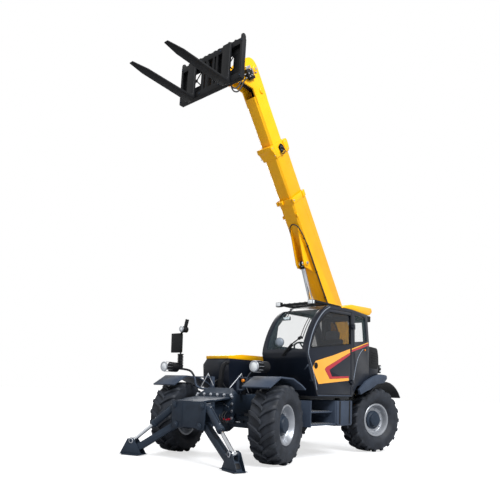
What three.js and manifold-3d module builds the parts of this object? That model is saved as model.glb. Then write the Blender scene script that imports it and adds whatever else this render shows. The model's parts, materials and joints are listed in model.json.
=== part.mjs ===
// Telehandler: telescopic boom on a four-wheel chassis with a cab on its left and an engine on its right.
// Millimetres, +Z up, front towards -Y, the machine's left towards +X.
import * as THREE from 'three';
import { mergeVertices } from 'three/addons/utils/BufferGeometryUtils.js';
import Module from 'manifold-3d';

const wasm = await Module();
wasm.setup();
const { Manifold, Mesh } = wasm;

// ---------- driving dimensions ----------
const seat = 0.3;            // gap left between pieces that touch
const running = 5;           // least gap between pieces that move past each other
const originY = 437;         // from mid wheelbase to the middle of the whole machine's box

const wheelbase = 2960;
const mid = wheelbase / 2;
const track = 1986;          // between the tyres' middle planes, as parked
const tyre = { radius: 580, halfWidth: 222, treadHalf: 178, shoulder: 560, bead: 286.4, segments: 28 };
const rim = { seatRadius: 286, bore: 262, flangeRadius: 300, flangeIn: 158, flangeOut: 167, disc: 68,
  discWall: 16 };
const hub = { radius: 165, capRadius: 118, face: 78, cap: 150, back: -40 };
const kingpin = { offset: 160, radius: 55, half: 150, earWall: 34, earRadius: 62 };
const steerFront = 12.6;     // degrees to the left, as parked
const steerRear = -17.4;
const axle = { tube: 92, diff: 175, diffHalf: 165, padHalf: 90 };

const frame = { inner: 250, outer: 330, bottom: 700, top: 1000, front: -mid - 220, rear: mid + 670 };
const nose = { halfWidth: 395, bottom: 585, top: 1002, plate: 28, apronTop: 1087 };
const boomPivot = { y: mid + 580, z: 1910 };
const boomAngle = 53.2;      // elevation at rest, degrees
const pinClear = 0.9;         // round a pin of the boom, its cylinders or the stabilisers
const hingeClear = 0.5;       // round a pin of the door's hinges

// boom sections: distances along the boom from its pivot, heights square to it
const outer = { half: 150, low: -135, high: 345, wall: 8, rear: -110, end: 3330, collar: 110, lip: 9 };
const middle = { half: 135, low: -120, high: 285, wall: 7, rear: 1350, end: 4290, collar: 220, lip: 16,
  chin: 98 };
const inner = { half: 120, low: -105, high: 225, wall: 7, rear: 2300, end: 5110 };
const chamfer = { low: 32, high: 12 };
const footPlate = 13;         // thickens the boom's foot on each side
const mastInner = outer.half + footPlate + running;
const mast = { inner: mastInner, outer: mastInner + 40, pinRadius: 46 };     // the ears that hold the boom's foot
const padLength = 90;
const lug = { along: 2131, down: -265, radius: 72, inner: 72, outer: 92, forward: 720 };
const head = { inner: 94, outer: 119, start: 4980 };
const toolPin = { along: 5500, down: -660, radius: 34 };
const tiltBase = { along: 5150, down: 120 };
const tiltArm = { reach: 240, angle: 39.2 };
const liftBase = { y: mid + 180, z: 1200 };
const forkTilt = 2.6;        // the carriage's tilt back at rest, degrees

const fork = { spread: 370, width: 130, thick: 45, length: 1200, top: 300, heel: -325 };
const carriage = { half: 650, back: -215, front: -299, low: -300, high: 322, bar: 90, post: 40 };

const cab = { inner: 345, outer: 1190, wall: 40, glassIn: 10, glass: 6 };
const hinge = { x: 1206, y: 362, heights: [1240, 2180], half: 42, knuckle: 15, barrel: 12, pin: 6 };
const fender = { inner: 712, outer: 1215, wall: 22 };
const rearArch = { y: mid + 100, z: 720, wide: 720, high: 540, from: -52, to: 61 };
const headLamp = { x: 945, y: -mid - 320, z: 1405, radius: 82 };
const bay = { outer: -930, front: -mid + 465, rear: mid - 420, bottom: 560, top: 1580, wall: 24, narrow: 60 };
const hoodWall = 10;
const stabiliser = { x: 278, y: -mid - 701, z: 529, toe: 17.8, half: 45, root: 62, foot: 791 };
const stabCylinder = { u: 42, v: 288, eyeU: 800, eyeV: -300 };

// ---------- materials ----------
const finish = (color, roughness, metalness) => new THREE.MeshStandardMaterial({ color, roughness, metalness });
const yellow = finish(0xf9b80c, 0.35, 0);
const dark = finish(0x1c232f, 0.45, 0.1);
const grey = finish(0x3a4454, 0.6, 0);
const steel = finish(0x29343f, 0.5, 0.4);
const black = finish(0x15181d, 0.6, 0.1);
const rubber = finish(0x24262b, 0.9, 0);
const silver = finish(0xb9bdc4, 0.4, 0.6);
const chrome = finish(0xd8dbe0, 0.15, 1);
const glass = finish(0x9fb4bc, 0.05, 0);
const fabric = finish(0x1b1d21, 0.95, 0);

// ---------- shapes ----------
const rad = THREE.MathUtils.degToRad;

function solid(geometry, matrix) {
  const plain = geometry.clone();
  plain.deleteAttribute('normal');
  plain.deleteAttribute('uv');
  if (matrix) plain.applyMatrix4(matrix);
  const merged = mergeVertices(plain, 1e-3);
  const triVerts = Uint32Array.from(merged.index.array);
  const vertProperties = Float32Array.from(merged.attributes.position.array);
  return new Manifold(new Mesh({ numProp: 3, vertProperties, triVerts }));
}

function mesh(name, shape, material) {
  const data = shape.getMesh();
  const geometry = new THREE.BufferGeometry();
  geometry.setAttribute('position', new THREE.BufferAttribute(data.vertProperties, 3));
  geometry.setIndex(new THREE.BufferAttribute(data.triVerts, 1));
  const result = new THREE.Mesh(geometry, material);
  result.name = name;
  return result;
}

const join = (...shapes) => shapes.flat().reduce((sum, item) => sum.add(item));
const cut = (shape, ...tools) => tools.flat().reduce((rest, item) => rest.subtract(item), shape);
const mirrorX = (shape) => shape.mirror([1, 0, 0]);

function box(x0, x1, y0, y1, z0, z1) {
  const place = new THREE.Matrix4().makeTranslation((x0 + x1) / 2, (y0 + y1) / 2, (z0 + z1) / 2);
  return solid(new THREE.BoxGeometry(x1 - x0, y1 - y0, z1 - z0), place);
}

const shapeOf = (points) => new THREE.Shape(points.map(([u, v]) => new THREE.Vector2(u, v)));

// an outline of (y, z) points carried from x0 to x1, with optional holes
function prismX(points, x0, x1, ...holes) {
  const shape = shapeOf(points);
  holes.forEach((hole) => shape.holes.push(shapeOf(hole)));
  const along = new THREE.Matrix4().makeBasis(
    new THREE.Vector3(0, 1, 0), new THREE.Vector3(0, 0, 1), new THREE.Vector3(1, 0, 0));
  along.setPosition(x0, 0, 0);
  return solid(new THREE.ExtrudeGeometry(shape, { depth: x1 - x0, bevelEnabled: false,
    curveSegments: 8 }), along);
}

// an outline of (x, z) points carried from y0 to y1
function prismY(points, y0, y1, ...holes) {
  const shape = shapeOf(points);
  holes.forEach((hole) => shape.holes.push(shapeOf(hole)));
  const along = new THREE.Matrix4().makeBasis(
    new THREE.Vector3(1, 0, 0), new THREE.Vector3(0, 0, 1), new THREE.Vector3(0, -1, 0));
  along.setPosition(0, y1, 0);
  return solid(new THREE.ExtrudeGeometry(shape, { depth: y1 - y0, bevelEnabled: false }), along);
}

// an outline of (x, y) points carried from z0 to z1
function prismZ(points, z0, z1) {
  const lift = new THREE.Matrix4().makeTranslation(0, 0, z0);
  return solid(new THREE.ExtrudeGeometry(shapeOf(points), { depth: z1 - z0, bevelEnabled: false }), lift);
}

function rod(from, to, radius, segments = 14) {
  const a = new THREE.Vector3(...from);
  const b = new THREE.Vector3(...to);
  const turn = new THREE.Quaternion().setFromUnitVectors(new THREE.Vector3(0, 1, 0),
    b.clone().sub(a).normalize());
  const place = new THREE.Matrix4().compose(a.clone().add(b).multiplyScalar(0.5), turn,
    new THREE.Vector3(1, 1, 1));
  return solid(new THREE.CylinderGeometry(radius, radius, a.distanceTo(b), segments), place);
}

// a closed profile of (radius, x) points turned about the X axis
function turned(profile, segments) {
  const points = profile.map(([r, x]) => new THREE.Vector2(r, x));
  const onX = new THREE.Matrix4().makeRotationZ(-Math.PI / 2);
  return solid(new THREE.LatheGeometry(points, segments), onX);
}

function bentTube(points, radius, steps = 12, sides = 4) {
  const route = new THREE.CatmullRomCurve3(points.map((p) => new THREE.Vector3(...p)), false, 'centripetal');
  const section = new THREE.Shape();
  section.absarc(0, 0, radius, 0, Math.PI * 2);
  const geometry = new THREE.ExtrudeGeometry(section, { steps, extrudePath: route, curveSegments: sides });
  return solid(geometry);
}

// the outline moved inwards by a distance, for outlines drawn anticlockwise
function inset(points, distance) {
  const count = points.length;
  const edge = (i) => {
    const [ax, ay] = points[i % count];
    const [bx, by] = points[(i + 1) % count];
    const length = Math.hypot(bx - ax, by - ay);
    const nx = -(by - ay) / length;
    const ny = (bx - ax) / length;
    return { px: ax + nx * distance, py: ay + ny * distance, dx: (bx - ax) / length, dy: (by - ay) / length };
  };
  return points.map((_, i) => {
    const a = edge(i + count - 1);
    const b = edge(i);
    const cross = a.dx * b.dy - a.dy * b.dx;
    if (Math.abs(cross) < 1e-6) return [b.px, b.py];
    const t = ((b.px - a.px) * b.dy - (b.py - a.py) * b.dx) / cross;
    return [a.px + a.dx * t, a.py + a.dy * t];
  });
}

// an open line of points given a thickness on its left
function thicken(points, wall) {
  const last = points.length - 1;
  const side = points.map(([u, v], i) => {
    const [ax, ay] = points[Math.max(i - 1, 0)];
    const [bx, by] = points[Math.min(i + 1, last)];
    const length = Math.hypot(bx - ax, by - ay);
    return [u - (wall * (by - ay)) / length, v + (wall * (bx - ax)) / length];
  });
  return [...points, ...side.reverse()];
}

// an elliptic arch over a wheel as a (y, z) outline; angles are counted from straight up
function arch({ y, z, wide, high, from, to }, wall, steps = 10) {
  const ring = (grow, a) => [y + (wide + grow) * Math.sin(rad(a)), z + (high + grow) * Math.cos(rad(a))];
  const angles = Array.from({ length: steps + 1 }, (_, i) => from + ((to - from) * i) / steps);
  return [...angles.map((a) => ring(wall, a)), ...angles.reverse().map((a) => ring(0, a))];
}
// everything under the arch's outer skin
function underArch({ y, z, wide, high, from, to }, grow) {
  const steps = 10;
  const angles = Array.from({ length: steps + 1 }, (_, i) => from + ((to - from) * i) / steps);
  return [...angles.map((a) => [y + (wide + grow) * Math.sin(rad(a)),
    z + (high + grow) * Math.cos(rad(a))]), [y, z - 400]];
}

const group = new THREE.Group();
group.position.y = originY;
const add = (parent, ...items) => { parent.add(...items); return parent; };

// ---------- wheels, knuckles and axles ----------
const corners = [
  { name: 'front_left', side: 1, y: -mid, steer: steerFront },
  { name: 'front_right', side: -1, y: -mid, steer: steerFront },
  { name: 'rear_left', side: 1, y: mid, steer: steerRear },
  { name: 'rear_right', side: -1, y: mid, steer: steerRear },
];
const kingpinX = track / 2 - kingpin.offset * Math.cos(rad((Math.abs(steerFront) + Math.abs(steerRear)) / 2));

function tyreShape() {
  const { radius, halfWidth, treadHalf, shoulder, bead } = tyre;
  const half = [[bead, rim.flangeIn - seat], [rim.flangeRadius + 4, rim.flangeIn - seat], [390, halfWidth],
    [shoulder - 50, halfWidth - 6], [shoulder, treadHalf + 22], [radius, treadHalf - 20]];
  const mirrored = half.map(([r, x]) => [r, -x]).reverse();
  const profile = [...half, ...mirrored, half[0]];
  return turned(profile.reverse(), tyre.segments);
}

function rimShape() {
  const { seatRadius, bore, flangeRadius, flangeIn, flangeOut, disc, discWall } = rim;
  const profile = [[0, hub.back], [hub.radius, hub.back], [hub.radius, disc - discWall],
    [bore, disc - discWall],
    [bore, -flangeOut], [flangeRadius, -flangeOut], [flangeRadius, -flangeIn],
    [seatRadius, -flangeIn], [seatRadius, flangeIn], [flangeRadius, flangeIn], [flangeRadius, flangeOut],
    [bore, flangeOut], [bore, disc], [hub.radius, disc], [hub.radius, hub.face + 16],
    [hub.capRadius, hub.face + 20], [hub.capRadius, hub.cap], [0, hub.cap]];
  return turned(profile, tyre.segments);
}

// the steering knuckle, in the wheel's own frame with +X pointing out of the machine
function knuckleShape() {
  const x = -kingpin.offset;
  const flange = rod([hub.back - seat, 0, 0], [hub.back - 70, 0, 0], 145, 16);
  const neck = rod([hub.back - 60, 0, 0], [x, 0, 0], 100, 16);
  const post = rod([x, 0, -kingpin.half], [x, 0, kingpin.half], kingpin.radius, 16);
  return join(flange, neck, post);
}

corners.forEach(({ name, side, y, steer }) => {
  const corner = new THREE.Group();
  const turn = rad(steer) + (side < 0 ? Math.PI : 0);
  corner.position.set(side * kingpinX + Math.cos(turn) * kingpin.offset,
    y + Math.sin(turn) * kingpin.offset, tyre.radius);
  corner.rotation.z = turn;
  add(corner, mesh(`tyre_${name}`, tyreShape(), rubber), mesh(`wheel_${name}`, rimShape(), silver),
    mesh(`knuckle_${name}`, knuckleShape(), steel));
  add(group, corner);
});

function axleShape() {
  const yokeX = kingpinX - 78;
  const tube = rod([-yokeX, 0, 0], [yokeX, 0, 0], axle.tube, 16);
  const diff = turned([[0, -axle.diffHalf], [110, -axle.diffHalf], [axle.diff, -70], [axle.diff, 70],
    [110, axle.diffHalf], [0, axle.diffHalf]], 16);
  const yoke = (side) => {
    const x = side * kingpinX;
    const web = box(Math.min(x - side * 118, x - side * 74), Math.max(x - side * 118, x - side * 74), -66, 66,
      -kingpin.half - kingpin.earWall, kingpin.half + kingpin.earWall);
    const ears = [1, -1].map((up) => {
      const z0 = up * (kingpin.half + seat);
      const z1 = up * (kingpin.half + kingpin.earWall);
      return join(rod([x, 0, z0], [x, 0, z1], kingpin.earRadius, 12),
        box(Math.min(x, x - side * 80), Math.max(x, x - side * 80), -60, 60, Math.min(z0, z1),
          Math.max(z0, z1)));
    });
    return join(web, ears);
  };
  const rise = frame.bottom - seat - tyre.radius;
  const pads = [1, -1].map((side) => box(side > 0 ? frame.inner : -frame.outer,
    side > 0 ? frame.outer : -frame.inner,
    -axle.padHalf, axle.padHalf, 0, rise));
  return join(tube, diff, yoke(1), yoke(-1), pads);
}

[['front_axle', -mid], ['rear_axle', mid]].forEach(([name, y]) => {
  const piece = mesh(name, axleShape(), steel);
  piece.position.set(0, y, tyre.radius);
  add(group, piece);
});

// ---------- chassis ----------
function chassisShape() {
  const beam = box(frame.inner, frame.outer, frame.front, frame.rear, frame.bottom, frame.top);
  const beams = [beam, mirrorX(beam)];
  const cross = [[frame.front, frame.front + 90], [-900, -780], [-60, 60], [760, 880],
    [frame.rear - 220, frame.rear]].map(
    ([y0, y1]) => box(-frame.outer + 5, frame.outer - 5, y0, y1, frame.bottom + 20, frame.top - 30));
  const flange = box(-nose.halfWidth, nose.halfWidth, frame.front - nose.plate, frame.front, nose.bottom,
    nose.top);
  const cheek = prismX([[frame.front - 5, nose.bottom], [frame.front + 110, frame.bottom + 10],
    [frame.front + 110, frame.top], [frame.front - 5, frame.top]], frame.outer - 30, frame.outer);
  const apronSide = prismX([[frame.front - 5, frame.top - 15], [frame.front - 5, nose.top],
    [frame.front + 80, nose.apronTop],
    [frame.front + 140, nose.apronTop], [frame.front + 140, frame.top - 15]], -frame.outer, frame.outer);
  const apron = apronSide.intersect(prismY([[-frame.outer, 900], [frame.outer, 900], [frame.outer, nose.top],
    [225, nose.apronTop + 5], [-225, nose.apronTop + 5], [-frame.outer, nose.top]],
    frame.front - 10, frame.front + 150));
  const foot = boomPivot.y;
  const ear = prismX([[foot - 880, frame.top - 10], [foot + 90, frame.top - 10], [foot + 145, 1450],
    [foot + 90, 1960],
    [foot, 2010], [foot - 100, 1985], [foot - 420, 1480], [foot - 760, 1180]], mast.inner, mast.outer);
  const feet = box(mast.inner, frame.inner + 10, foot - 880, foot + 90, frame.top - 40, frame.top);
  const pin = rod([-mast.outer, boomPivot.y, boomPivot.z], [mast.outer, boomPivot.y, boomPivot.z],
    mast.pinRadius, 28);
  const backPlate = box(-mast.outer, mast.outer, foot + 60, foot + 90, frame.top - 20, 1560);
  const base = liftBase.y;
  const liftEar = prismX([[base - 180, frame.top - 60], [base + 200, frame.top - 60],
    [base + 70, liftBase.z + 90],
    [base - 60, liftBase.z + 90]], 76, 100);
  const liftFloor = box(-frame.inner - 10, frame.inner + 10, base - 220, base + 240, frame.top - 60,
    frame.top - 20);
  const liftPin = rod([-100, liftBase.y, liftBase.z], [100, liftBase.y, liftBase.z], 36, 24);
  const towBar = box(-420, 420, frame.rear - 10, frame.rear + 100, 1080, 1190);
  const towArm = box(255, 320, frame.rear - 50, frame.rear + 10, 960, 1185);
  return join(beams, cross, flange, cheek, mirrorX(cheek), apron, ear, mirrorX(ear), feet, mirrorX(feet),
    pin, backPlate,
    liftEar, mirrorX(liftEar), liftFloor, liftPin, towBar, towArm, mirrorX(towArm));
}
add(group, mesh('chassis', chassisShape(), steel));

// ---------- engine bay on the right ----------
const bayInner = -frame.outer - seat;
const baySide = [[bay.front, 1090], [bay.front + 215, 750], [bay.front + 220, bay.bottom],
  [bay.rear - 420, bay.bottom],
  [bay.rear - 260, 900], [bay.rear - 220, 1235], [bay.rear, 1235], [bay.rear, bay.top],
  [bay.front - 10, bay.top],
  [bay.front - 30, 1470]];
// across the machine the side leans in above a ridge
const bayAcross = [[bay.outer, bay.bottom - 10], [bayInner, bay.bottom - 10], [bayInner, bay.top + 10],
  [bay.outer + bay.narrow, bay.top + 10], [bay.outer + bay.narrow, bay.top - 10], [bay.outer, bay.top - 100]];
function engineBay() {
  const ends = [bay.front - 100, bay.rear + 100];
  const shell = prismX(baySide, bay.outer, bayInner).intersect(prismY(bayAcross, ...ends));
  const hollow = prismX(inset(baySide, bay.wall), bay.outer, bayInner)
    .intersect(prismY(inset(bayAcross, bay.wall), ...ends));
  const mouth = box(bay.outer + bay.narrow + bay.wall, bayInner - bay.wall, bay.front + 20, bay.rear - bay.wall,
    bay.top - 60, bay.top + 50);
  return cut(shell, hollow, mouth);
}
const engineFloor = bay.bottom + bay.wall + seat;
add(group,
  mesh('engine_bay', engineBay(), dark),
  mesh('engine_block', box(-860, -430, -640, 560, engineFloor, 1420), steel));

const hoodLow = bay.top + seat;
function hoodShape() {
  const lid = (wall, low) => [[bay.front - 22 + wall, low], [bay.rear - 6 - wall, low],
    [bay.rear - 6 - wall, hoodLow + 60 - wall],
    [bay.rear - 120, hoodLow + 96 - wall], [-700, hoodLow + 86 - wall],
    [bay.front - 22 + wall, hoodLow + 50 - wall]];
  const left = bay.outer + bay.narrow;
  const skin = prismX(lid(0, hoodLow), left, bayInner - 10);
  return skin.subtract(prismX(lid(hoodWall, hoodLow - 5), left + hoodWall, bayInner - 10 - hoodWall));
}
add(group, mesh('engine_hood', hoodShape(), yellow));

// ---------- cab ----------
const swept = (steps, ...points) =>
  new THREE.SplineCurve(points.map(([u, v]) => new THREE.Vector2(u, v)))
    .getSpacedPoints(steps)
    .map((v) => [v.x, v.y]);
const cabSide = [[-680, 1000], [400, 1000], [560, 1180], [900, 1240], [975, 1320], [975, 1930],
  [885, 2440], [360, 2470],
  ...swept(12, [-395, 2446], [-560, 2362], [-720, 2222], [-860, 2030], [-962, 1820], [-1003, 1655],
    [-975, 1560])];
const doorSide = [[-652, 1034], [345, 1034], [318, 2412],
  ...swept(12, [-382, 2392], [-535, 2314], [-688, 2180], [-822, 2000], [-918, 1808], [-950, 1660],
    [-924, 1556])];
const doorWindow = [[318, 1884], [300, 2366],
  ...swept(10, [-366, 2346], [-500, 2276], [-648, 2146], [-776, 1976], [-866, 1800], [-874, 1742])];
const quarterWindow = [[460, 1930], [880, 1975], [800, 2380], [440, 2395]];
const screen = { x0: 425, x1: 1105, z0: 1715, z1: 2372 };
const backLight = { x0: 440, x1: 1095, z0: 1900, z1: 2350 };
const sideLight = [[-700, 1800], [760, 1800], [740, 2380], [-380, 2370], [-640, 2120]];

function cabShell() {
  const body = prismX(cabSide, cab.inner, cab.outer);
  const room = prismX(inset(cabSide, cab.wall), cab.inner + cab.wall, cab.outer - cab.wall);
  const doorway = prismX(inset(doorSide, -running), cab.outer - cab.wall - 5, cab.outer + 10);
  const front = box(screen.x0, screen.x1, -1100, -380, screen.z0, screen.z1);
  const rear = box(backLight.x0, backLight.x1, 700, 1100, backLight.z0, backLight.z1);
  const right = prismX(sideLight, cab.inner - 10, cab.inner + cab.wall + 10);
  const quarter = prismX(quarterWindow, cab.outer - cab.wall - 10, cab.outer + 10);
  return join(cut(body, room, doorway, front, rear, right, quarter), hingeLugs);
}

function pane(opening) {
  const outerFace = prismX(inset(cabSide, cab.glassIn), cab.inner + 1, cab.outer - 1);
  const innerFace = prismX(inset(cabSide, cab.glassIn + cab.glass), cab.inner, cab.outer);
  return outerFace.subtract(innerFace).intersect(opening);
}

const windscreen = pane(box(screen.x0 + seat, screen.x1 - seat, -1100, -420, screen.z0 + seat,
  screen.z1 - seat));
const rearWindow = pane(box(backLight.x0 + seat, backLight.x1 - seat, 700, 1100, backLight.z0 + seat,
  backLight.z1 - seat));
const rightWindow = prismX(inset(sideLight, seat), cab.inner + 12, cab.inner + 18);
const quarterGlass = prismX(inset(quarterWindow, seat), cab.outer - 18, cab.outer - 12);

const doorOut = cab.outer - 2;
const leaf = prismX(doorSide, doorOut - 34, doorOut, doorWindow);
// each hinge: a pin between two lugs on the shell, turning in a knuckle on the door
const upright = (z, low, high, radius, sides = 16) => rod([hinge.x, hinge.y, z + low],
  [hinge.x, hinge.y, z + high], radius, sides);
const hingeLugs = hinge.heights.map((z) => {
  const block = box(cab.outer - 1, hinge.x + 12, hinge.y + 14, hinge.y + 60, z - hinge.half, z + hinge.half);
  const lugs = [1, -1].map((k) => {
    const near = k * (hinge.knuckle + seat);
    const far = k * hinge.half;
    const arm = box(hinge.x - 8, hinge.x + 12, hinge.y, hinge.y + 16, z + Math.min(near, far),
      z + Math.max(near, far));
    return join(arm, upright(z, Math.min(near, far), Math.max(near, far), hinge.barrel));
  });
  return join(block, lugs, upright(z, -hinge.half, hinge.half, hinge.pin, 12));
});
const knuckles = hinge.heights.map((z) => {
  const foot = box(doorOut - 1, cab.outer + 1, hinge.y - 60, hinge.y - 47, z - hinge.knuckle,
    z + hinge.knuckle);
  const strap = box(cab.outer + seat, hinge.x + 6, hinge.y - 62, hinge.y - 4, z - hinge.knuckle,
    z + hinge.knuckle);
  return join(foot, strap, upright(z, -hinge.knuckle, hinge.knuckle, hinge.barrel));
});
const hingeBores = hinge.heights.map((z) => upright(z, -hinge.half, hinge.half, hinge.pin + hingeClear, 12));
const doorShape = cut(join(leaf, knuckles), hingeBores);
const doorGlass = prismX(inset(doorWindow, seat), doorOut - 20, doorOut - 14);

function roofCover() {
  const side = [[120, 2474], [360, 2470 + seat], [885, 2440 + seat], [1010, 2452], [1095, 2520],
    [1062, 2585], [360, 2560],
    [180, 2520]];
  return prismX(side, cab.inner + 12, cab.outer - 10);
}

function roofVisor() {
  const bar = 34;
  const y0 = -720;
  const top = 2500;
  const front = box(400, 1130, y0, y0 + bar, top - bar - 30, top - 30);
  const sides = [400, 1130 - bar].map((x) => box(x, x + bar, y0, 100, top - bar, top));
  const middleBar = box(400, 1130, -330, -330 + bar, top - bar, top);
  const drop = [400, 1130 - bar].map((x) => box(x, x + bar, y0, y0 + bar, top - bar - 30, top));
  const feet = [400, 1130 - bar].map((x) => prismX([[60, 2440], [100, 2440], [100, top], [60, top]], x,
    x + bar));
  return cut(join(front, sides, middleBar, drop, feet), prismX(inset(cabSide, -seat), cab.inner, cab.outer));
}

function dashboard() {
  const floor = 1000 + cab.wall + seat;
  const console = prismX([[-620, floor], [-560, floor], [-560, 1500], [-700, 1640], [-860, 1640],
    [-895, 1560]], 500, 1040);
  const column = rod([770, -612, 1510], [770, -440, 1742], 34, 14);
  const tilt = new THREE.Matrix4().makeRotationX(rad(-36.6)).setPosition(770, -436, 1746);
  const wheel = solid(new THREE.TorusGeometry(178, 15, 6, 20), tilt);
  const spokes = [0, 120, 240].map((a) => {
    const end = new THREE.Vector3(Math.sin(rad(a)) * 176, -Math.cos(rad(a)) * 176, 0).applyMatrix4(tilt);
    return rod([770, -436, 1746], end.toArray(), 12, 8);
  });
  return join(console, column, wheel, spokes);
}

function driverSeat() {
  const floor = 1000 + cab.wall + seat;
  const base = box(640, 900, -30, 330, floor, 1330);
  const cushion = box(545, 995, -110, 400, 1320, 1450);
  const back = prismX([[300, 1440], [430, 1440], [520, 2060], [420, 2080]], 550, 990);
  return join(base, cushion, back);
}

add(group,
  mesh('cab_shell', cabShell(), dark),
  mesh('windscreen', windscreen, glass),
  mesh('rear_window', rearWindow, glass),
  mesh('right_window', rightWindow, glass),
  mesh('quarter_window', quarterGlass, glass),
  mesh('cab_door', doorShape, dark),
  mesh('door_window', doorGlass, glass),
  mesh('cab_mount', box(frame.outer + seat, cab.inner - seat, -500, 300, 960, 1100), steel),
  mesh('roof_cover', roofCover(), yellow),
  mesh('roof_visor', roofVisor(), black),
  mesh('dashboard', dashboard(), black),
  mesh('driver_seat', driverSeat(), fabric));

// ---------- rear bodies, tank and steps ----------
const rearFenderSpace = prismX(underArch(rearArch, fender.wall + seat), -fender.outer - 5, fender.outer + 5);
const cabRear = 975 + seat;
const rearBodyLeft = cut(prismX([[cabRear, 1250], [1330, 1250], [1385, 1560], [1330, 1840], [1280, 1884],
  [cabRear, 1900]], 420, 1180),
  rearFenderSpace);
const bayRear = bay.rear + seat;
const rearBodyRight = cut(prismX([[bayRear, 1250], [1400, 1250], [1480, 1420], [1420, 1600], [bayRear, 1640]],
  bay.outer, bayInner), rearFenderSpace);
const leftInner = frame.outer + seat;
const tankBox = prismX([[-42, 930], [-42, 560], [10, 517], [440, 517], [456, 560], [456, 930]], leftInner,
  1165);
function sideSteps() {
  const plates = [-790, -70].map((y) => box(leftInner, 1150, y, y + 18, 520, 930));
  const treads = [540, 735].map((z, i) => box(leftInner, 1150 - 60 * i, -780, -60, z, z + 22));
  return join(plates, treads);
}
add(group,
  mesh('rear_body_left', rearBodyLeft, dark),
  mesh('rear_body_right', rearBodyRight, dark),
  mesh('tank_box', tankBox, grey),
  mesh('side_steps', sideSteps(), grey));

// ---------- fenders, head lamps and the mirror's mast ----------
// undersides as (y, z) points from the wheel's middle line, front to back
const frontSkin = [[-430, 1100], [-170, 1250], [120, 1236], [330, 1152], [440, 1088]];
const flare = [[-903, 1117], [-658, 1273], [-400, 1362], [-158, 1411], [60, 1404], [116, 1391],
  [130, 1340], [20, 1262],
  [-250, 1230], [-520, 1130], [-640, 1105], [-860, 1040]].reverse();

function fenderArm(y, top) {
  const arm = box(frame.inner + 10, fender.inner + 30, y - 30, y + 30, top, top + fender.wall);
  const post = box(frame.inner + 10, frame.inner + 50, y - 30, y + 30, frame.top + seat, top + fender.wall);
  return join(arm, post);
}

function frontFender(seated) {
  const skin = prismX(thicken(frontSkin.map(([y, z]) => [y - mid, z]), fender.wall), fender.inner,
    fender.outer);
  const { x, y, z, radius } = headLamp;
  const start = frame.inner + 30;
  const carrier = bentTube([[start, -mid - 10, 1062], [440, -mid - 90, 1066], [520, -mid - 125, 1110],
    [560, -mid - 130, 1240], [650, -mid - 130, 1340], [750, -mid - 135, 1368], [x, -mid - 190, 1385]], 18, 16);
  const lamp = rod([x, -mid - 185, z], [x, y, z], radius, 20);
  const parts = [skin, fenderArm(-mid, 1240), carrier, lamp];
  if (seated) parts.push(box(mirrorMast.x - 35, mirrorMast.x + 35, -mid - 165, -mid - 105, 1370,
    mirrorMast.low));
  return join(parts);
}

function rearFender() {
  const skin = prismX(arch(rearArch, fender.wall), fender.inner, fender.outer);
  const wing = prismX(flare.map(([y, z]) => [y + mid, z]), cab.outer + seat, fender.outer + 20);
  return join(skin, wing, fenderArm(rearArch.y, rearArch.z + rearArch.high));
}

const mirrorMast = { x: 905, low: 1425 };
function mastShape() {
  const { x, low } = mirrorMast;
  const y = -mid - 135;
  const base = rod([x, y, low + seat], [x, y, 1630], 38, 16);
  const post = rod([x, y, 1600], [x, y, 1990], 14, 10);
  const housing = box(x - 45, x + 165, y - 70, y - 8, 1650, 1970);
  const arm = rod([x, y, 1980], [816, y - 10, 2020], 16, 10);
  const lamp = rod([816, y + 30, 2034], [816, y - 70, 2034], 52, 16);
  const cap = rod([800, y - 10, 2070], [760, y - 10, 2200], 30, 12);
  return join(base, post, housing, arm, lamp, cap);
}
add(group,
  mesh('fender_front_left', frontFender(false), grey),
  mesh('fender_front_right', mirrorX(frontFender(true)), grey),
  mesh('fender_rear_left', rearFender(), grey),
  mesh('fender_rear_right', mirrorX(rearFender()), grey),
  mesh('mirror_mast', mirrorX(mastShape()), black));

// ---------- boom, modelled level with its pivot at the origin, then raised ----------
// p(along, up) is a (y, z) point in the boom's frame
const p = (along, up) => [-along, up];
const boom = new THREE.Group();
boom.position.set(0, boomPivot.y, boomPivot.z);
boom.rotation.x = -rad(boomAngle);
add(group, boom);

function sectionOutline(half, low, high, lowCut, highCut) {
  return [[-half + lowCut, low], [half - lowCut, low], [half, low + lowCut], [half, high - highCut],
    [half - highCut, high], [-half + highCut, high], [-half, high - highCut], [-half, low + lowCut]];
}
// a hollow section from 'from' to 'to' along the boom
function tube(s, from, to, wall = s.wall, grow = 0) {
  const outline = sectionOutline(s.half + grow, s.low - grow, s.high + grow, chamfer.low, chamfer.high);
  const hollow = sectionOutline(s.half - wall, s.low + wall, s.high - wall, chamfer.low - wall / 2, 6);
  return prismY(outline, -to, -from, hollow);
}
// wear pads inside the mouth of a section, running on the next one
function wearPads(s, next, end) {
  const gap = 0.5;
  const y0 = -end + 12;
  const y1 = y0 + padLength;
  const inside = s.half - s.wall + 1;
  const sides = [1, -1].map((k) => {
    const near = k * (next.half + gap);
    const far = k * inside;
    return box(Math.min(near, far), Math.max(near, far), y0, y1, next.low + 60, next.high - 60);
  });
  const low = box(-next.half + 50, next.half - 50, y0, y1, s.low + s.wall - 1, next.low - gap);
  const high = box(-next.half + 50, next.half - 50, y0, y1, next.high + gap, s.high - s.wall + 1);
  return [...sides, low, high];
}

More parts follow.
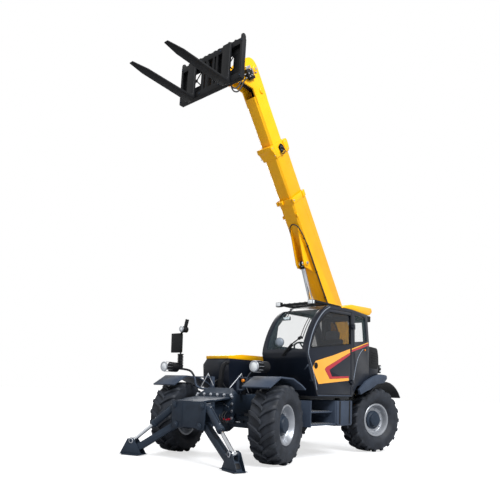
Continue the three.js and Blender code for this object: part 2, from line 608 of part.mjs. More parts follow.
function boomOuter() {
  const body = tube(outer, outer.rear, outer.end);
  const collar = tube(outer, outer.end - outer.collar, outer.end, outer.wall, outer.lip);
  const foot = [1, -1].map((k) => {
    const plate = prismX([p(outer.rear, -100), p(320, -128), p(320, 200), p(120, 240),
      p(outer.rear, 120)], outer.half - 2,
      mast.inner - running);
    return k > 0 ? plate : mirrorX(plate);
  });
  const ears = [1, -1].map((k) => {
    const plate = prismX([p(lug.along - 60, lug.down - lug.radius), p(lug.along + 40, lug.down - lug.radius),
      p(lug.along + lug.forward, outer.low + 4), p(lug.along - 260, outer.low + 4),
      p(lug.along - 90, lug.down - 20)].reverse(),
    lug.inner, lug.outer);
    return k > 0 ? plate : mirrorX(plate);
  });
  const bosses = [1, -1].map((k) => rod([k * (lug.inner + 2), -lug.along, lug.down],
    [k * (lug.outer + 22), -lug.along, lug.down], 48, 20));
  const bore = rod([-250, 0, 0], [250, 0, 0], mast.pinRadius + pinClear, 28);
  return cut(join(body, collar, foot, ears, bosses, wearPads(outer, middle, outer.end)), bore);
}

function boomMiddle() {
  const body = tube(middle, middle.rear, middle.end);
  const collar = tube(middle, middle.end - middle.collar, middle.end, middle.wall, middle.lip);
  const { half, low, end, lip } = middle;
  const chin = prismX([p(end - 236, low + 2), p(end - 236, low - 4), p(end - 100, low - 62),
    p(end - 60, low - middle.chin),
    p(end, low - middle.chin), p(end, low + 2)], -half - lip, half + lip);
  return join(body, collar, chin, wearPads(middle, inner, middle.end));
}

function boomInner() {
  const crown = [[5700, 0], [5698, 60], [5684, 120], [5650, 172], [5600, 208], [5540, 226], [5470, 232],
    [inner.end - 10, 228]]
    .map((at) => p(...at));
  const body = tube(inner, inner.rear, inner.end);
  const cheek = prismX([p(head.start, inner.low + 20), p(5240, inner.low + 20), p(5400, -300),
    p(toolPin.along - 60, -700),
    p(toolPin.along, -725), p(toolPin.along + 62, -690), p(5640, -240), ...crown,
    p(head.start, 218)], head.inner, head.outer);
  const cover = prismX(thicken(crown, -22), -head.outer, head.outer);
  const brace = prismX([p(5420, -60), p(5470, -60), p(5470, 219), p(5420, 219)], -head.outer, head.outer);
  const pinA = rod([-head.outer, -tiltBase.along, tiltBase.down],
    [head.outer, -tiltBase.along, tiltBase.down], 26, 20);
  const pinQ = rod([-158, -toolPin.along, toolPin.down], [158, -toolPin.along, toolPin.down],
    toolPin.radius, 24);
  return join(body, cheek, mirrorX(cheek), cover, brace, pinA, pinQ);
}
add(boom,
  mesh('boom_outer', boomOuter(), yellow),
  mesh('boom_middle', boomMiddle(), yellow),
  mesh('boom_inner', boomInner(), yellow));

// ---------- fork carriage, in its own frame at the tool pin ----------
const tool = new THREE.Group();
tool.position.set(0, -toolPin.along, toolPin.down);
tool.rotation.x = rad(boomAngle - forkTilt);
add(boom, tool);

function carriageShape() {
  const { half, back, front, low, high, bar, post } = carriage;
  const bars = [box(-half, half, front, back, high - bar, high), box(-half, half, front, back, low, low + bar)];
  const posts = [half, 165, 90].flatMap((x) => [box(x - post, x, front, back, low, high),
    box(-x, -x + post, front, back, low, high)]);
  const outerEar = prismX([[back - 20, -90], [back - 20, 130], [-60, 70], [20, 60], [62, 20], [62, -30],
    [20, -62], [-60, -62]],
    head.outer + running + 1, head.outer + running + 29);
  const rodEar = prismX([[back - 20, 100], [back - 20, 300], [-30, 290], [30, 268], [34, 214], [-20, 196],
    [-80, 100]], 46, 66);
  const hole = rod([-200, 0, 0], [200, 0, 0], toolPin.radius + pinClear, 24);
  const bosses = [1, -1].map((k) => rod([k * 48, 0, tiltArm.reach], [k * 80, 0, tiltArm.reach], 30, 16));
  return cut(join(bars, posts, outerEar, mirrorX(outerEar), rodEar, mirrorX(rodEar), bosses), hole);
}
function forkShape(x) {
  const y = carriage.front - seat;
  const side = [[y, fork.heel], [y, fork.top], [y - fork.thick, fork.top],
    [y - fork.thick, fork.heel + fork.thick + 40],
    [y - fork.thick - 30, fork.heel + fork.thick], [y - fork.length, fork.heel + 14],
    [y - fork.length, fork.heel]].reverse();
  const half = fork.width / 2;
  const tip = y - fork.length;
  const plan = prismZ([[x - half, y + 5], [x - half, tip + 260], [x - 30, tip], [x + 30, tip],
    [x + half, tip + 260],
    [x + half, y + 5]], fork.heel - 5, fork.top + 5);
  return prismX(side, x - half, x + half).intersect(plan);
}
add(tool,
  mesh('fork_carriage', carriageShape(), black),
  mesh('fork_left', forkShape(fork.spread), black),
  mesh('fork_right', forkShape(-fork.spread), black));

// ---------- hydraulic cylinders ----------
// drawn along -Y from the base pin; group turned so that -Y points at the far pin
function cylinderBarrel({ radius, bore, length, eye, half, pin }) {
  const body = rod([0, -eye + 6, 0], [0, -length, 0], radius, 16);
  const boss = rod([-half, 0, 0], [half, 0, 0], eye, 16);
  return cut(join(body, boss), rod([-half - 5, 0, 0], [half + 5, 0, 0], pin + pinClear, 24),
    rod([0, -eye - 12, 0], [0, -length - 5, 0], bore, 16));
}
function cylinderRod({ bore, back, reach, rodEye, rodHalf, rodPin }) {
  const bar = rod([0, -back, 0], [0, -reach + rodEye - 6, 0], bore - 0.5, 16);
  const boss = rod([-rodHalf, -reach, 0], [rodHalf, -reach, 0], rodEye, 16);
  return cut(join(bar, boss), rod([-rodHalf - 5, -reach, 0], [rodHalf + 5, -reach, 0], rodPin, 12));
}

function placeCylinder(parent, names, spec, base, far) {
  const holder = new THREE.Group();
  const away = Math.atan2(far[1] - base[1], -(far[0] - base[0]));
  holder.position.set(0, base[0], base[1]);
  holder.rotation.x = -away;
  const sized = { ...spec, reach: Math.hypot(far[0] - base[0], far[1] - base[1]) };
  add(holder, mesh(names[0], cylinderBarrel(sized), spec.paint), mesh(names[1], cylinderRod(sized), chrome));
  add(parent, holder);
}

const boomPoint = (along, up) => {
  const a = rad(boomAngle);
  return [boomPivot.y - along * Math.cos(a) + up * Math.sin(a),
    boomPivot.z + along * Math.sin(a) + up * Math.cos(a)];
};
placeCylinder(group, ['lift_barrel', 'lift_rod'],
  { radius: 66, bore: 44, length: 1560, eye: 62, half: 70, pin: 36, back: 1180, rodEye: 50, rodHalf: 60,
    rodPin: 30, paint: dark },
  [liftBase.y, liftBase.z], boomPoint(lug.along, lug.down));

const tiltEnd = [toolPin.along + tiltArm.reach * Math.cos(rad(tiltArm.angle)),
  toolPin.down + tiltArm.reach * Math.sin(rad(tiltArm.angle))];
placeCylinder(boom, ['tilt_barrel', 'tilt_rod'],
  { radius: 42, bore: 25, length: 520, eye: 44, half: 60, pin: 26, back: 450, rodEye: 36, rodHalf: 38,
    rodPin: 22, paint: black },
  p(tiltBase.along, tiltBase.down), p(...tiltEnd));

// ---------- front stabilisers ----------
function stabiliserBracket() {
  const { x, y, z } = stabiliser;
  const outline = [[-x - 52, z - 50], [-x + 52, z - 58], [-150, z - 30], [150, z - 30], [x - 52, z - 58],
    [x + 52, z - 50],
    [x + 78, z + 250], [x + 72, z + 350], [-x - 72, z + 350], [-x - 78, z + 250]];
  const back = frame.front - nose.plate - seat;
  const frontPlate = prismY(outline, y - 97, y - 75);
  const backPlate = prismY(outline, y + 75, y + 97);
  const core = box(-165, 165, y - 80, back, z - 20, z + 335);
  const foot = box(-200, 200, y + 90, back, z + 60, z + 345);
  const lid = prismX([[y - 97, z + 330], [back, z + 400], [back, z + 424], [y - 97, z + 354]], -345, 345)
    .intersect(prismZ([[-262, y - 100], [262, y - 100], [262, y + 92], [340, y + 125], [340, back],
      [-340, back],
      [-340, y + 125], [-262, y + 92]], z, z + 500));
  const toe = rad(stabiliser.toe);
  const pins = [[x, y, z, 34], [x + stabCylinder.u * Math.cos(toe), y - stabCylinder.u * Math.sin(toe),
    z + stabCylinder.v, 26]].flatMap(
    ([px, py, pz, r]) => [1, -1].map((k) => rod([k * (px - Math.sin(toe) * 88), py - Math.cos(toe) * 88, pz],
      [k * (px + Math.sin(toe) * 88), py + Math.cos(toe) * 88, pz], r, 20)));
  return join(frontPlate, backPlate, core, foot, lid, pins);
}

// one leg in its own plane: -Y points outwards along the leg, drawn level with the ground
function legShape() {
  const { root, foot, half } = stabiliser;
  const fz = -(stabiliser.z - 95);
  const beam = prismX([[0, 48], [-40, 52], [-foot + 60, fz + 70], [-foot - 30, fz + 36],
    [-foot - 10, fz - 40], [-foot + 60, fz - 45],
    [-20, -52], [30, -40]].reverse(), -half, half);
  const rootBoss = rod([-half, 0, 0], [half, 0, 0], root, 24);
  const eye = prismX([[-foot + 60, fz - 20], [-foot - 60, fz - 20],
    [-stabCylinder.eyeU - 52, stabCylinder.eyeV],
    [-stabCylinder.eyeU - 20, stabCylinder.eyeV + 46], [-stabCylinder.eyeU + 30,
      stabCylinder.eyeV + 44], [-foot + 90, fz + 40]],
  46, 60);
  const base = -stabiliser.z + 4;
  const pad = box(-95, 95, -foot - 170, -foot + 130, base, base + 22);
  const gusset = prismX([[-foot + 100, base + 10], [-foot - 150, base + 10], [-foot - 60, fz + 40],
    [-foot + 40, fz + 40]], -62, 62);
  const bore = rod([-100, 0, 0], [100, 0, 0], 34 + pinClear, 24);
  return cut(join(beam, rootBoss, eye, mirrorX(eye), pad, gusset), bore);
}

[['left', 1], ['right', -1]].forEach(([name, side]) => {
  const holder = new THREE.Group();
  holder.position.set(side * stabiliser.x, stabiliser.y, stabiliser.z);
  holder.rotation.z = side * rad(90 - stabiliser.toe);
  add(holder, mesh(`stabiliser_leg_${name}`, legShape(), steel));
  placeCylinder(holder, [`stabiliser_barrel_${name}`, `stabiliser_rod_${name}`],
    { radius: 44, bore: 28, length: 520, eye: 46, half: 42, pin: 26, back: 425, rodEye: 38, rodHalf: 40,
      rodPin: 22, paint: steel },
    [-stabCylinder.u, stabCylinder.v], [-stabCylinder.eyeU, stabCylinder.eyeV]);
  add(group, holder);
});
add(group, mesh('stabiliser_bracket', stabiliserBracket(), steel));

export default group;
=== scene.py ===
import json
import math

import bmesh
import bpy
from mathutils import Matrix, Vector


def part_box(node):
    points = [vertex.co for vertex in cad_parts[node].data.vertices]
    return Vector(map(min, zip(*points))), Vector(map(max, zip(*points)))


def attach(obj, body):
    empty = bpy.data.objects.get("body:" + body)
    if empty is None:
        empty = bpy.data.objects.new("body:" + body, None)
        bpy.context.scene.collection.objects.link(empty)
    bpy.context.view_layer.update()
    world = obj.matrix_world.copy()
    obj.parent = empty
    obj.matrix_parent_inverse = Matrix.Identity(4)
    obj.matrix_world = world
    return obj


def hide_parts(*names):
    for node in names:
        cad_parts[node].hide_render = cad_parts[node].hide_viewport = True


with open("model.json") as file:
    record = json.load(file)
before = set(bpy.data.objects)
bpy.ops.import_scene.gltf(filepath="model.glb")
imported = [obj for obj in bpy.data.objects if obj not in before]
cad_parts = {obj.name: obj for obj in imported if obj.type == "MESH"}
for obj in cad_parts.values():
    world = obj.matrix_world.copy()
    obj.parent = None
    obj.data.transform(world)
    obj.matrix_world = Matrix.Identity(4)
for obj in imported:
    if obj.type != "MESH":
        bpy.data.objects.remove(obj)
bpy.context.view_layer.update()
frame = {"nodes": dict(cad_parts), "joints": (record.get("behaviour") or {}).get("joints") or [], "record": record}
joints = {joint["name"]: joint for joint in frame["joints"]}
bodyOf = {node: body for body, nodes in frame["record"]["behaviour"]["bodies"].items() for node in nodes}
print("frame loaded:", len(frame["nodes"]), "nodes")

# ---------- small tools ----------
xAxis, yAxis, zAxis = Vector((1, 0, 0)), Vector((0, 1, 0)), Vector((0, 0, 1))


def linear(code, alpha=1.0):  # "#rrggbb" as a linear colour
    parts = [int(code[i:i + 2], 16) / 255 for i in (1, 3, 5)]
    return (*[p / 12.92 if p < 0.04045 else ((p + 0.055) / 1.055) ** 2.4 for p in parts], alpha)


def axesAt(origin, u, v, w):  # carries local (u, v, w) into the machine's frame
    m = Matrix.Identity(4)
    for column, axis in enumerate((u, v, w)):
        m.col[column][:3] = Vector(axis)
    m.translation = Vector(origin)
    return m


def otherSide(m):  # the same place, mirrored to the machine's other side
    return Matrix.Scale(-1, 4, xAxis) @ m


def spot(joint):
    return Vector(joints[joint]["pos_m"])


sideOn = axesAt((0, 0, 0), yAxis, zAxis, xAxis)      # (y, z, x)
headOn = axesAt((0, 0, 0), xAxis, zAxis, -yAxis)     # (x, z, -y)
fromTop = axesAt((0, 0, 0), xAxis, yAxis, zAxis)     # (x, y, z)

boomAlong = Vector(joints["telescope_middle"]["axis"]).normalized()
boomUp = boomAlong.cross(xAxis)
if boomUp.z < 0:
    boomUp = -boomUp
boomAxes = axesAt(spot("boom_lift"), boomAlong, boomUp, boomAlong.cross(boomUp))   # (along, up, side)


def merge(bm, part, place=None):
    if place is not None:
        bmesh.ops.transform(part, matrix=place, verts=part.verts)
        if place.determinant() < 0:
            bmesh.ops.reverse_faces(part, faces=part.faces)
    carrier = bpy.data.meshes.new("carrier")
    part.to_mesh(carrier)
    part.free()
    bm.from_mesh(carrier)
    bpy.data.meshes.remove(carrier)


def soften(part, width, steps=2, angle=30):  # rounds every edge sharper than the angle
    limit = math.radians(angle)
    edges = [e for e in part.edges if len(e.link_faces) == 2 and e.calc_face_angle() > limit]
    if width > 0 and edges:
        bmesh.ops.bevel(part, geom=edges, offset=width, segments=steps, profile=0.5, affect="EDGES",
                        clamp_overlap=True)


def addBox(bm, low, high, place=None, soft=0.004):
    part = bmesh.new()
    bmesh.ops.create_cube(part, size=1)
    low, high = Vector(low), Vector(high)
    size = high - low
    stretch = Matrix.Translation((low + high) / 2) @ Matrix.Diagonal((*size, 1))
    bmesh.ops.transform(part, matrix=stretch, verts=part.verts)
    soften(part, min(soft, min(abs(s) for s in size) * 0.4))
    merge(bm, part, place)


# profile: points (radius, distance along the axis), with both ends on the axis for a closed solid
def addSpun(bm, profile, base, axis, sides=32, soft=0):
    part = bmesh.new()
    rings = []
    for radius, height in profile:
        if radius < 1e-6:
            rings.append([part.verts.new((0, 0, height))])
        else:
            rings.append([part.verts.new((radius * math.cos(a), radius * math.sin(a), height))
                          for a in (2 * math.pi * i / sides for i in range(sides))])
    for near, far in zip(rings, rings[1:]):
        if len(near) == len(far) == 1:
            continue
        for i in range(sides):
            j = (i + 1) % sides
            corners = [near[i % len(near)], near[j % len(near)], far[j % len(far)], far[i % len(far)]]
            part.faces.new(list(dict.fromkeys(corners)))
    bmesh.ops.recalc_face_normals(part, faces=part.faces)
    soften(part, soft, 2, 40)
    turn = zAxis.rotation_difference(Vector(axis).normalized()).to_matrix().to_4x4()
    merge(bm, part, Matrix.Translation(Vector(base)) @ turn)


def addRod(bm, a, b, radius, sides=24, soft=0.0015):
    a, b = Vector(a), Vector(b)
    length = (b - a).length
    addSpun(bm, [(0, 0), (radius, 0), (radius, length), (0, length)], a, b - a, sides,
            min(soft, radius * 0.3))


def addPlate(bm, outline, w0, w1, place, soft=0.002, steps=2):  # an outline of (u, v) points from w0 to w1
    part = bmesh.new()
    low = [part.verts.new((u, v, min(w0, w1))) for u, v in outline]
    high = [part.verts.new((u, v, max(w0, w1))) for u, v in outline]
    count = len(outline)
    part.faces.new(low[::-1])
    part.faces.new(high)
    for i in range(count):
        part.faces.new([low[i], low[(i + 1) % count], high[(i + 1) % count], high[i]])
    bmesh.ops.recalc_face_normals(part, faces=part.faces)
    soften(part, min(soft, abs(w1 - w0) * 0.4), steps)
    merge(bm, part, place)


def smoothRoute(points, steps=6):  # a smooth run through the points
    points = [Vector(p) for p in points]
    ends = [points[0] * 2 - points[1], *points, points[-1] * 2 - points[-2]]
    run = []
    for a, b, c, d in zip(ends, ends[1:], ends[2:], ends[3:]):
        for i in range(steps):
            t = i / steps
            run.append(0.5 * ((2 * b) + (c - a) * t + (2 * a - 5 * b + 4 * c - d) * t * t
                              + (3 * b - a - 3 * c + d) * t ** 3))
    return run + [points[-1]]


def addTube(bm, route, radius, sides=10):  # a round bar or hose along a route, with closed ends
    part = bmesh.new()
    route = [Vector(p) for p in route]
    ahead = (route[1] - route[0]).normalized()
    side = ahead.orthogonal().normalized()
    rings = []
    for i, point in enumerate(route):
        nextAhead = (route[min(i + 1, len(route) - 1)] - route[max(i - 1, 0)]).normalized()
        side = (ahead.rotation_difference(nextAhead) @ side).normalized()
        ahead = nextAhead
        up = ahead.cross(side)
        rings.append([part.verts.new(point + radius * (math.cos(a) * side + math.sin(a) * up))
                      for a in (2 * math.pi * k / sides for k in range(sides))])
    for near, far in zip(rings, rings[1:]):
        for k in range(sides):
            j = (k + 1) % sides
            part.faces.new([near[k], near[j], far[j], far[k]])
    part.faces.new(rings[0][::-1])
    part.faces.new(rings[-1])
    merge(bm, part)


def addBolt(bm, at, axis, size=0.012):  # washer and hexagon head
    at, axis = Vector(at), Vector(axis).normalized()
    addRod(bm, at, at + axis * size * 0.2, size * 1.25, 16, 0)
    addRod(bm, at, at + axis * size * 0.85, size, 6, size * 0.12)


def show(bm, name, body, finish, stands=(), smooth=35):
    mesh = bpy.data.meshes.new(name)
    bm.to_mesh(mesh)
    bm.free()
    mesh.shade_smooth()
    mesh.set_sharp_from_angle(angle=math.radians(smooth))
    mesh.materials.append(finish)
    piece = bpy.data.objects.new(name, mesh)
    bpy.context.scene.collection.objects.link(piece)
    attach(piece, body)
    if stands:
        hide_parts(*stands)
    return piece


def refined(node, finish, soft=0.004, steps=2, angle=28, smooth=32):  # a CAD node's shape, edges rounded
    bm = bmesh.new()
    bm.from_mesh(frame["nodes"][node].data)
    bmesh.ops.remove_doubles(bm, verts=bm.verts, dist=2e-5)
    bmesh.ops.dissolve_limit(bm, angle_limit=math.radians(0.6), verts=bm.verts, edges=bm.edges)
    soften(bm, soft, steps, angle)
    return show(bm, node + "_skin", bodyOf[node], finish, [node], smooth)


def repaint(piece, finish, chosen):  # a second finish on the faces whose centre is chosen
    piece.data.materials.append(finish)
    for face in piece.data.polygons:
        if chosen(face.center):
            face.material_index = 1


# ---------- finishes ----------
finishes = {
    "boomYellow": {"slot": "yellow_paint", "colour": "#fdbb07", "shade": "#f8b404", "size": 3.0,
                   "rough": (0.34, 0.42), "coat": 0.06, "grain": 420, "depth": 0.05, "shine": 0.3},
    "hoodYellow": {"slot": "yellow_paint", "colour": "#fdbe05", "shade": "#f6b403", "size": 2.0,
                   "rough": (0.30, 0.38), "coat": 0.1, "grain": 420, "depth": 0.05, "shine": 0.3},
    "bodyNavy": {"slot": "dark_paint", "colour": "#0e141f", "shade": "#121926", "size": 2.2,
                 "rough": (0.28, 0.38), "coat": 0.12, "grain": 380, "depth": 0.06, "shine": 0.3},
    "frameNavy": {"slot": "frame_paint", "colour": "#212b38", "shade": "#293442", "size": 5.0,
                  "rough": (0.42, 0.56), "coat": 0.0, "grain": 240, "depth": 0.12, "shine": 0.25},
    "fenderGrey": {"slot": "grey_plastic", "colour": "#343e4e", "shade": "#3b4657", "size": 6.0,
                   "rough": (0.5, 0.62), "coat": 0.0, "grain": 900, "depth": 0.25, "shine": 0.3},
    "blackSteel": {"slot": "black_parts", "colour": "#0b0c0f", "shade": "#121418", "size": 7.0,
                   "rough": (0.45, 0.62), "coat": 0.0, "grain": 300, "depth": 0.14, "shine": 0.25},
    "blackPlastic": {"slot": "grey_plastic", "colour": "#0d0f12", "shade": "#121418", "size": 8.0,
                     "rough": (0.5, 0.6), "coat": 0.0, "grain": 1100, "depth": 0.2, "shine": 0.25},
    "redStripe": {"slot": "yellow_paint", "colour": "#b50b2a", "shade": "#aa0926", "size": 4.0,
                  "rough": (0.3, 0.36), "coat": 0.3, "grain": 300, "depth": 0.02},
    "orangeStripe": {"slot": "yellow_paint", "colour": "#fbb03b", "shade": "#f8a92f", "size": 4.0,
                     "rough": (0.3, 0.36), "coat": 0.3, "grain": 300, "depth": 0.02},
    "tyreRubber": {"slot": "tyre", "colour": "#1c2027", "shade": "#282d36", "size": 9.0,
                   "rough": (0.55, 0.72), "coat": 0.0, "grain": 260, "depth": 0.3, "shine": 0.4},
    "hoseRubber": {"slot": "black_parts", "colour": "#15171b", "shade": "#1f2227", "size": 30.0,
                   "rough": (0.5, 0.65), "coat": 0.0, "grain": 1500, "depth": 0.3},
    "rimSilver": {"slot": "rim_paint", "colour": "#a9adb3", "shade": "#9a9ea5", "size": 7.0,
                  "rough": (0.32, 0.45), "coat": 0.1, "grain": 300, "depth": 0.06, "metal": 0.55},
    "zinc": {"slot": "chrome", "colour": "#c4c8ce", "shade": "#b2b6bd", "size": 40.0,
             "rough": (0.25, 0.4), "coat": 0.0, "grain": 700, "depth": 0.1, "metal": 0.9},
    "chrome": {"slot": "chrome", "colour": "#dfe2e6", "shade": "#d2d6db", "size": 12.0,
               "rough": (0.08, 0.14), "coat": 0.0, "grain": 500, "depth": 0.02, "metal": 1.0},
    "lampWhite": {"slot": "glass", "colour": "#f2f5f7", "shade": "#dfe5ea", "size": 30.0,
                  "rough": (0.08, 0.14), "coat": 0.6, "grain": 200, "depth": 0.05},
    # pale grey for the far mirror's face, and painted highlight: the pale lines along the cab's door edge and rear
    # quarter
    "paleTrimAndHighlight": {"slot": "rim_paint", "colour": "#8f98a6", "shade": "#828c9b", "size": 6.0,
                 "rough": (0.25, 0.35), "coat": 0.3, "grain": 500, "depth": 0.05},
}


def coated(name, colour, shade, size, rough, coat, grain, depth, slot, metal=0.0, shine=0.5):
    material = bpy.data.materials.new(name)
    material.use_nodes = True
    tree = material.node_tree
    shader = tree.nodes["Principled BSDF"]
    place = tree.nodes.new("ShaderNodeTexCoord").outputs["Object"]

    def noise(scale, detail):
        node = tree.nodes.new("ShaderNodeTexNoise")
        node.inputs["Scale"].default_value = scale
        node.inputs["Detail"].default_value = detail
        tree.links.new(place, node.inputs["Vector"])
        return node.outputs["Fac"]

    patches = noise(size, 4)
    ramp = tree.nodes.new("ShaderNodeValToRGB")
    ramp.color_ramp.elements[0].position = 0.35
    ramp.color_ramp.elements[1].position = 0.68
    ramp.color_ramp.elements[0].color = linear(colour)
    ramp.color_ramp.elements[1].color = linear(shade)
    tree.links.new(patches, ramp.inputs["Fac"])
    tree.links.new(ramp.outputs["Color"], shader.inputs["Base Color"])
    gloss = tree.nodes.new("ShaderNodeMapRange")
    gloss.inputs["To Min"].default_value, gloss.inputs["To Max"].default_value = rough
    tree.links.new(noise(size * 3.1, 5), gloss.inputs["Value"])
    tree.links.new(gloss.outputs["Result"], shader.inputs["Roughness"])
    bump = tree.nodes.new("ShaderNodeBump")
    bump.inputs["Strength"].default_value = depth
    bump.inputs["Distance"].default_value = 0.001
    tree.links.new(noise(grain, 3), bump.inputs["Height"])
    tree.links.new(bump.outputs["Normal"], shader.inputs["Normal"])
    shader.inputs["Metallic"].default_value = metal
    shader.inputs["Specular IOR Level"].default_value = shine
    shader.inputs["Coat Weight"].default_value = coat
    shader.inputs["Coat Roughness"].default_value = 0.12
    return material


def clearGlass(name, colour, alpha, rough=0.04):
    material = bpy.data.materials.new(name)
    material.use_nodes = True
    tree = material.node_tree
    shader = tree.nodes["Principled BSDF"]
    film = tree.nodes.new("ShaderNodeTexNoise")
    film.inputs["Scale"].default_value = 3.0
    tree.links.new(tree.nodes.new("ShaderNodeTexCoord").outputs["Object"], film.inputs["Vector"])
    spread = tree.nodes.new("ShaderNodeMapRange")
    spread.inputs["To Min"].default_value = rough
    spread.inputs["To Max"].default_value = rough + 0.03
    tree.links.new(film.outputs["Fac"], spread.inputs["Value"])
    tree.links.new(spread.outputs["Result"], shader.inputs["Roughness"])
    shader.inputs["Base Color"].default_value = linear(colour)
    shader.inputs["Alpha"].default_value = alpha
    shader.inputs["IOR"].default_value = 1.5
    return material


def seatCloth(name, colour, shade):  # a tight two-way weave
    material = bpy.data.materials.new(name)
    material.use_nodes = True
    tree = material.node_tree
    shader = tree.nodes["Principled BSDF"]
    place = tree.nodes.new("ShaderNodeTexCoord").outputs["Object"]
    heights = []
    for direction in ("X", "Z"):
        wave = tree.nodes.new("ShaderNodeTexWave")
        wave.bands_direction = direction
        wave.inputs["Scale"].default_value = 260
        wave.inputs["Distortion"].default_value = 1.5
        tree.links.new(place, wave.inputs["Vector"])
        heights.append(wave.outputs["Fac"])
    weave = tree.nodes.new("ShaderNodeMath")
    weave.operation = "MULTIPLY"
    tree.links.new(heights[0], weave.inputs[0])
    tree.links.new(heights[1], weave.inputs[1])
    ramp = tree.nodes.new("ShaderNodeValToRGB")
    ramp.color_ramp.elements[0].color = linear(colour)
    ramp.color_ramp.elements[1].color = linear(shade)
    tree.links.new(weave.outputs["Value"], ramp.inputs["Fac"])
    tree.links.new(ramp.outputs["Color"], shader.inputs["Base Color"])
    bump = tree.nodes.new("ShaderNodeBump")
    bump.inputs["Strength"].default_value = 0.4
    bump.inputs["Distance"].default_value = 0.001
    tree.links.new(weave.outputs["Value"], bump.inputs["Height"])
    tree.links.new(bump.outputs["Normal"], shader.inputs["Normal"])
    shader.inputs["Roughness"].default_value = 0.85
    shader.inputs["Sheen Weight"].default_value = 0.25
    return material


paint = {name: coated(name, **look) for name, look in finishes.items()}
paint["windowGlass"] = clearGlass("windowGlass", "#7f979c", 0.06)
paint["sideGlass"] = clearGlass("sideGlass", "#0e141c", 0.55)
paint["lampGlass"] = clearGlass("lampGlass", "#eef4f6", 0.55, 0.08)
paint["mirrorGlass"] = clearGlass("mirrorGlass", "#c9d4da", 1.0, 0.02)
paint["redLens"] = clearGlass("redLens", "#b3121a", 0.9, 0.12)
paint["amberLens"] = clearGlass("amberLens", "#f08a10", 0.9, 0.12)
paint["seatCloth"] = seatCloth("seatCloth", "#17181b", "#2b2d32")
paint["headrestCloth"] = seatCloth("headrestCloth", "#9a9fa6", "#b9bdc2")
paint["mirrorGlass"].node_tree.nodes["Principled BSDF"].inputs["Metallic"].default_value = 0.9
print("finishes made:", len(paint))

# ---------- wheels ----------
tyreLook = {"lugs": 19, "lugHeight": 0.044, "sweep": 0.34, "lugHalf": 0.027, "crownDrop": 0.006,
            "stations": 8}
rimLook = {"bolts": 10, "boltCircle": 0.206, "capBolts": 6}
tyreLow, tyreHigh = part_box("tyre_front_left")
tyreRadius = (tyreHigh.z - tyreLow.z) / 2


def tyreProfile(base):  # (radius, x) round one half of the carcass, outside first
    return [(0.290, 0.150), (0.306, 0.157), (0.330, 0.180), (0.360, 0.207), (0.395, 0.219), (0.430, 0.219),
            (0.470, 0.210), (0.505, 0.203), (0.528, 0.194), (0.540, 0.172), (base, 0.120),
            (base + 0.004, 0.05), (base + 0.005, 0)]


def addLug(bm, radius, start, hand):  # one bar from just past the middle out to the shoulder
    look = tyreLook
    part = bmesh.new()
    rings = []
    for i in range(look["stations"] + 1):
        t = i / look["stations"]
        x = -0.012 + 0.216 * t
        turn = start + look["sweep"] * (t ** 0.82) / (1 + 0.25 * t)
        crown = radius - look["crownDrop"] * t * t - (0.0 if t < 0.82 else 0.030 * ((t - 0.82) / 0.18) ** 1.6)
        root = radius - look["lugHeight"] - 0.012 - (0.0 if t < 0.75 else 0.05 * (t - 0.75) / 0.25)
        half = (look["lugHalf"] + 0.008 * t) / radius
        ring = []
        for share, r in ((-1.25, root), (-0.86, crown), (0.86, crown), (1.25, root)):
            a = turn + half * share
            ring.append(part.verts.new((hand * x, r * math.sin(a), r * math.cos(a))))
        rings.append(ring)
    for near, far in zip(rings, rings[1:]):
        for k in range(4):
            part.faces.new([near[k], near[(k + 1) % 4], far[(k + 1) % 4], far[k]])
    part.faces.new(rings[0][::-1])
    part.faces.new(rings[-1])
    bmesh.ops.recalc_face_normals(part, faces=part.faces)
    soften(part, 0.004, 1, 40)
    merge(bm, part)


def tyreMesh():
    bm = bmesh.new()
    base = tyreRadius - tyreLook["lugHeight"]
    half = tyreProfile(base)
    full = half + [(r, -x) for r, x in half[-2::-1]]
    full += [(0.284, -0.150), (0.284, 0.150), half[0]]
    addSpun(bm, full, (0, 0, 0), xAxis, 76)
    pitch = 2 * math.pi / tyreLook["lugs"]
    for i in range(tyreLook["lugs"]):
        addLug(bm, tyreRadius, i * pitch, 1)
        addLug(bm, tyreRadius, (i + 0.5) * pitch, -1)
    return bm


def rimMesh():
    bm = bmesh.new()
    outline = [(0.166, 0.048), (0.166, 0.064), (0.222, 0.066), (0.232, 0.074), (0.240, 0.096), (0.252, 0.128),
               (0.262, 0.150), (0.272, 0.1655), (0.292, 0.1668), (0.2995, 0.160), (0.298, 0.153),
               (0.286, 0.150), (0.2835, 0.140), (0.2835, -0.140), (0.286, -0.150), (0.298, -0.153),
               (0.2995, -0.160), (0.292, -0.1668), (0.272, -0.1655), (0.264, -0.150), (0.256, -0.06),
               (0.250, 0.02), (0.232, 0.046), (0.166, 0.048)]
    addSpun(bm, outline, (0, 0, 0), xAxis, 64)
    return bm


def hubMesh():
    bm = bmesh.new()
    addSpun(bm, [(0, -0.040), (0.150, -0.040), (0.1655, -0.030), (0.1655, 0.082), (0.160, 0.090),
                 (0.130, 0.095), (0.120, 0.104), (0.117, 0.138), (0.108, 0.1475), (0.060, 0.149),
                 (0.052, 0.1495), (0, 0.1495)],
            (0, 0, 0), xAxis, 48)
    for i in range(rimLook["capBolts"]):
        a = 2 * math.pi * i / rimLook["capBolts"]
        addBolt(bm, (0.142, 0.084 * math.cos(a), 0.084 * math.sin(a)), xAxis, 0.008)
    return bm


def nutMesh():
    bm = bmesh.new()
    for i in range(rimLook["bolts"]):
        a = 2 * math.pi * i / rimLook["bolts"]
        at = Vector((0.064, rimLook["boltCircle"] * math.cos(a), rimLook["boltCircle"] * math.sin(a)))
        addBolt(bm, at, xAxis, 0.016)
        addRod(bm, at, at + xAxis * 0.024, 0.009, 12, 0.001)
    return bm


def placedCopy(makeMesh, place):
    source = makeMesh()
    bmesh.ops.transform(source, matrix=place, verts=source.verts)
    if place.determinant() < 0:
        bmesh.ops.reverse_faces(source, faces=source.faces)
    return source


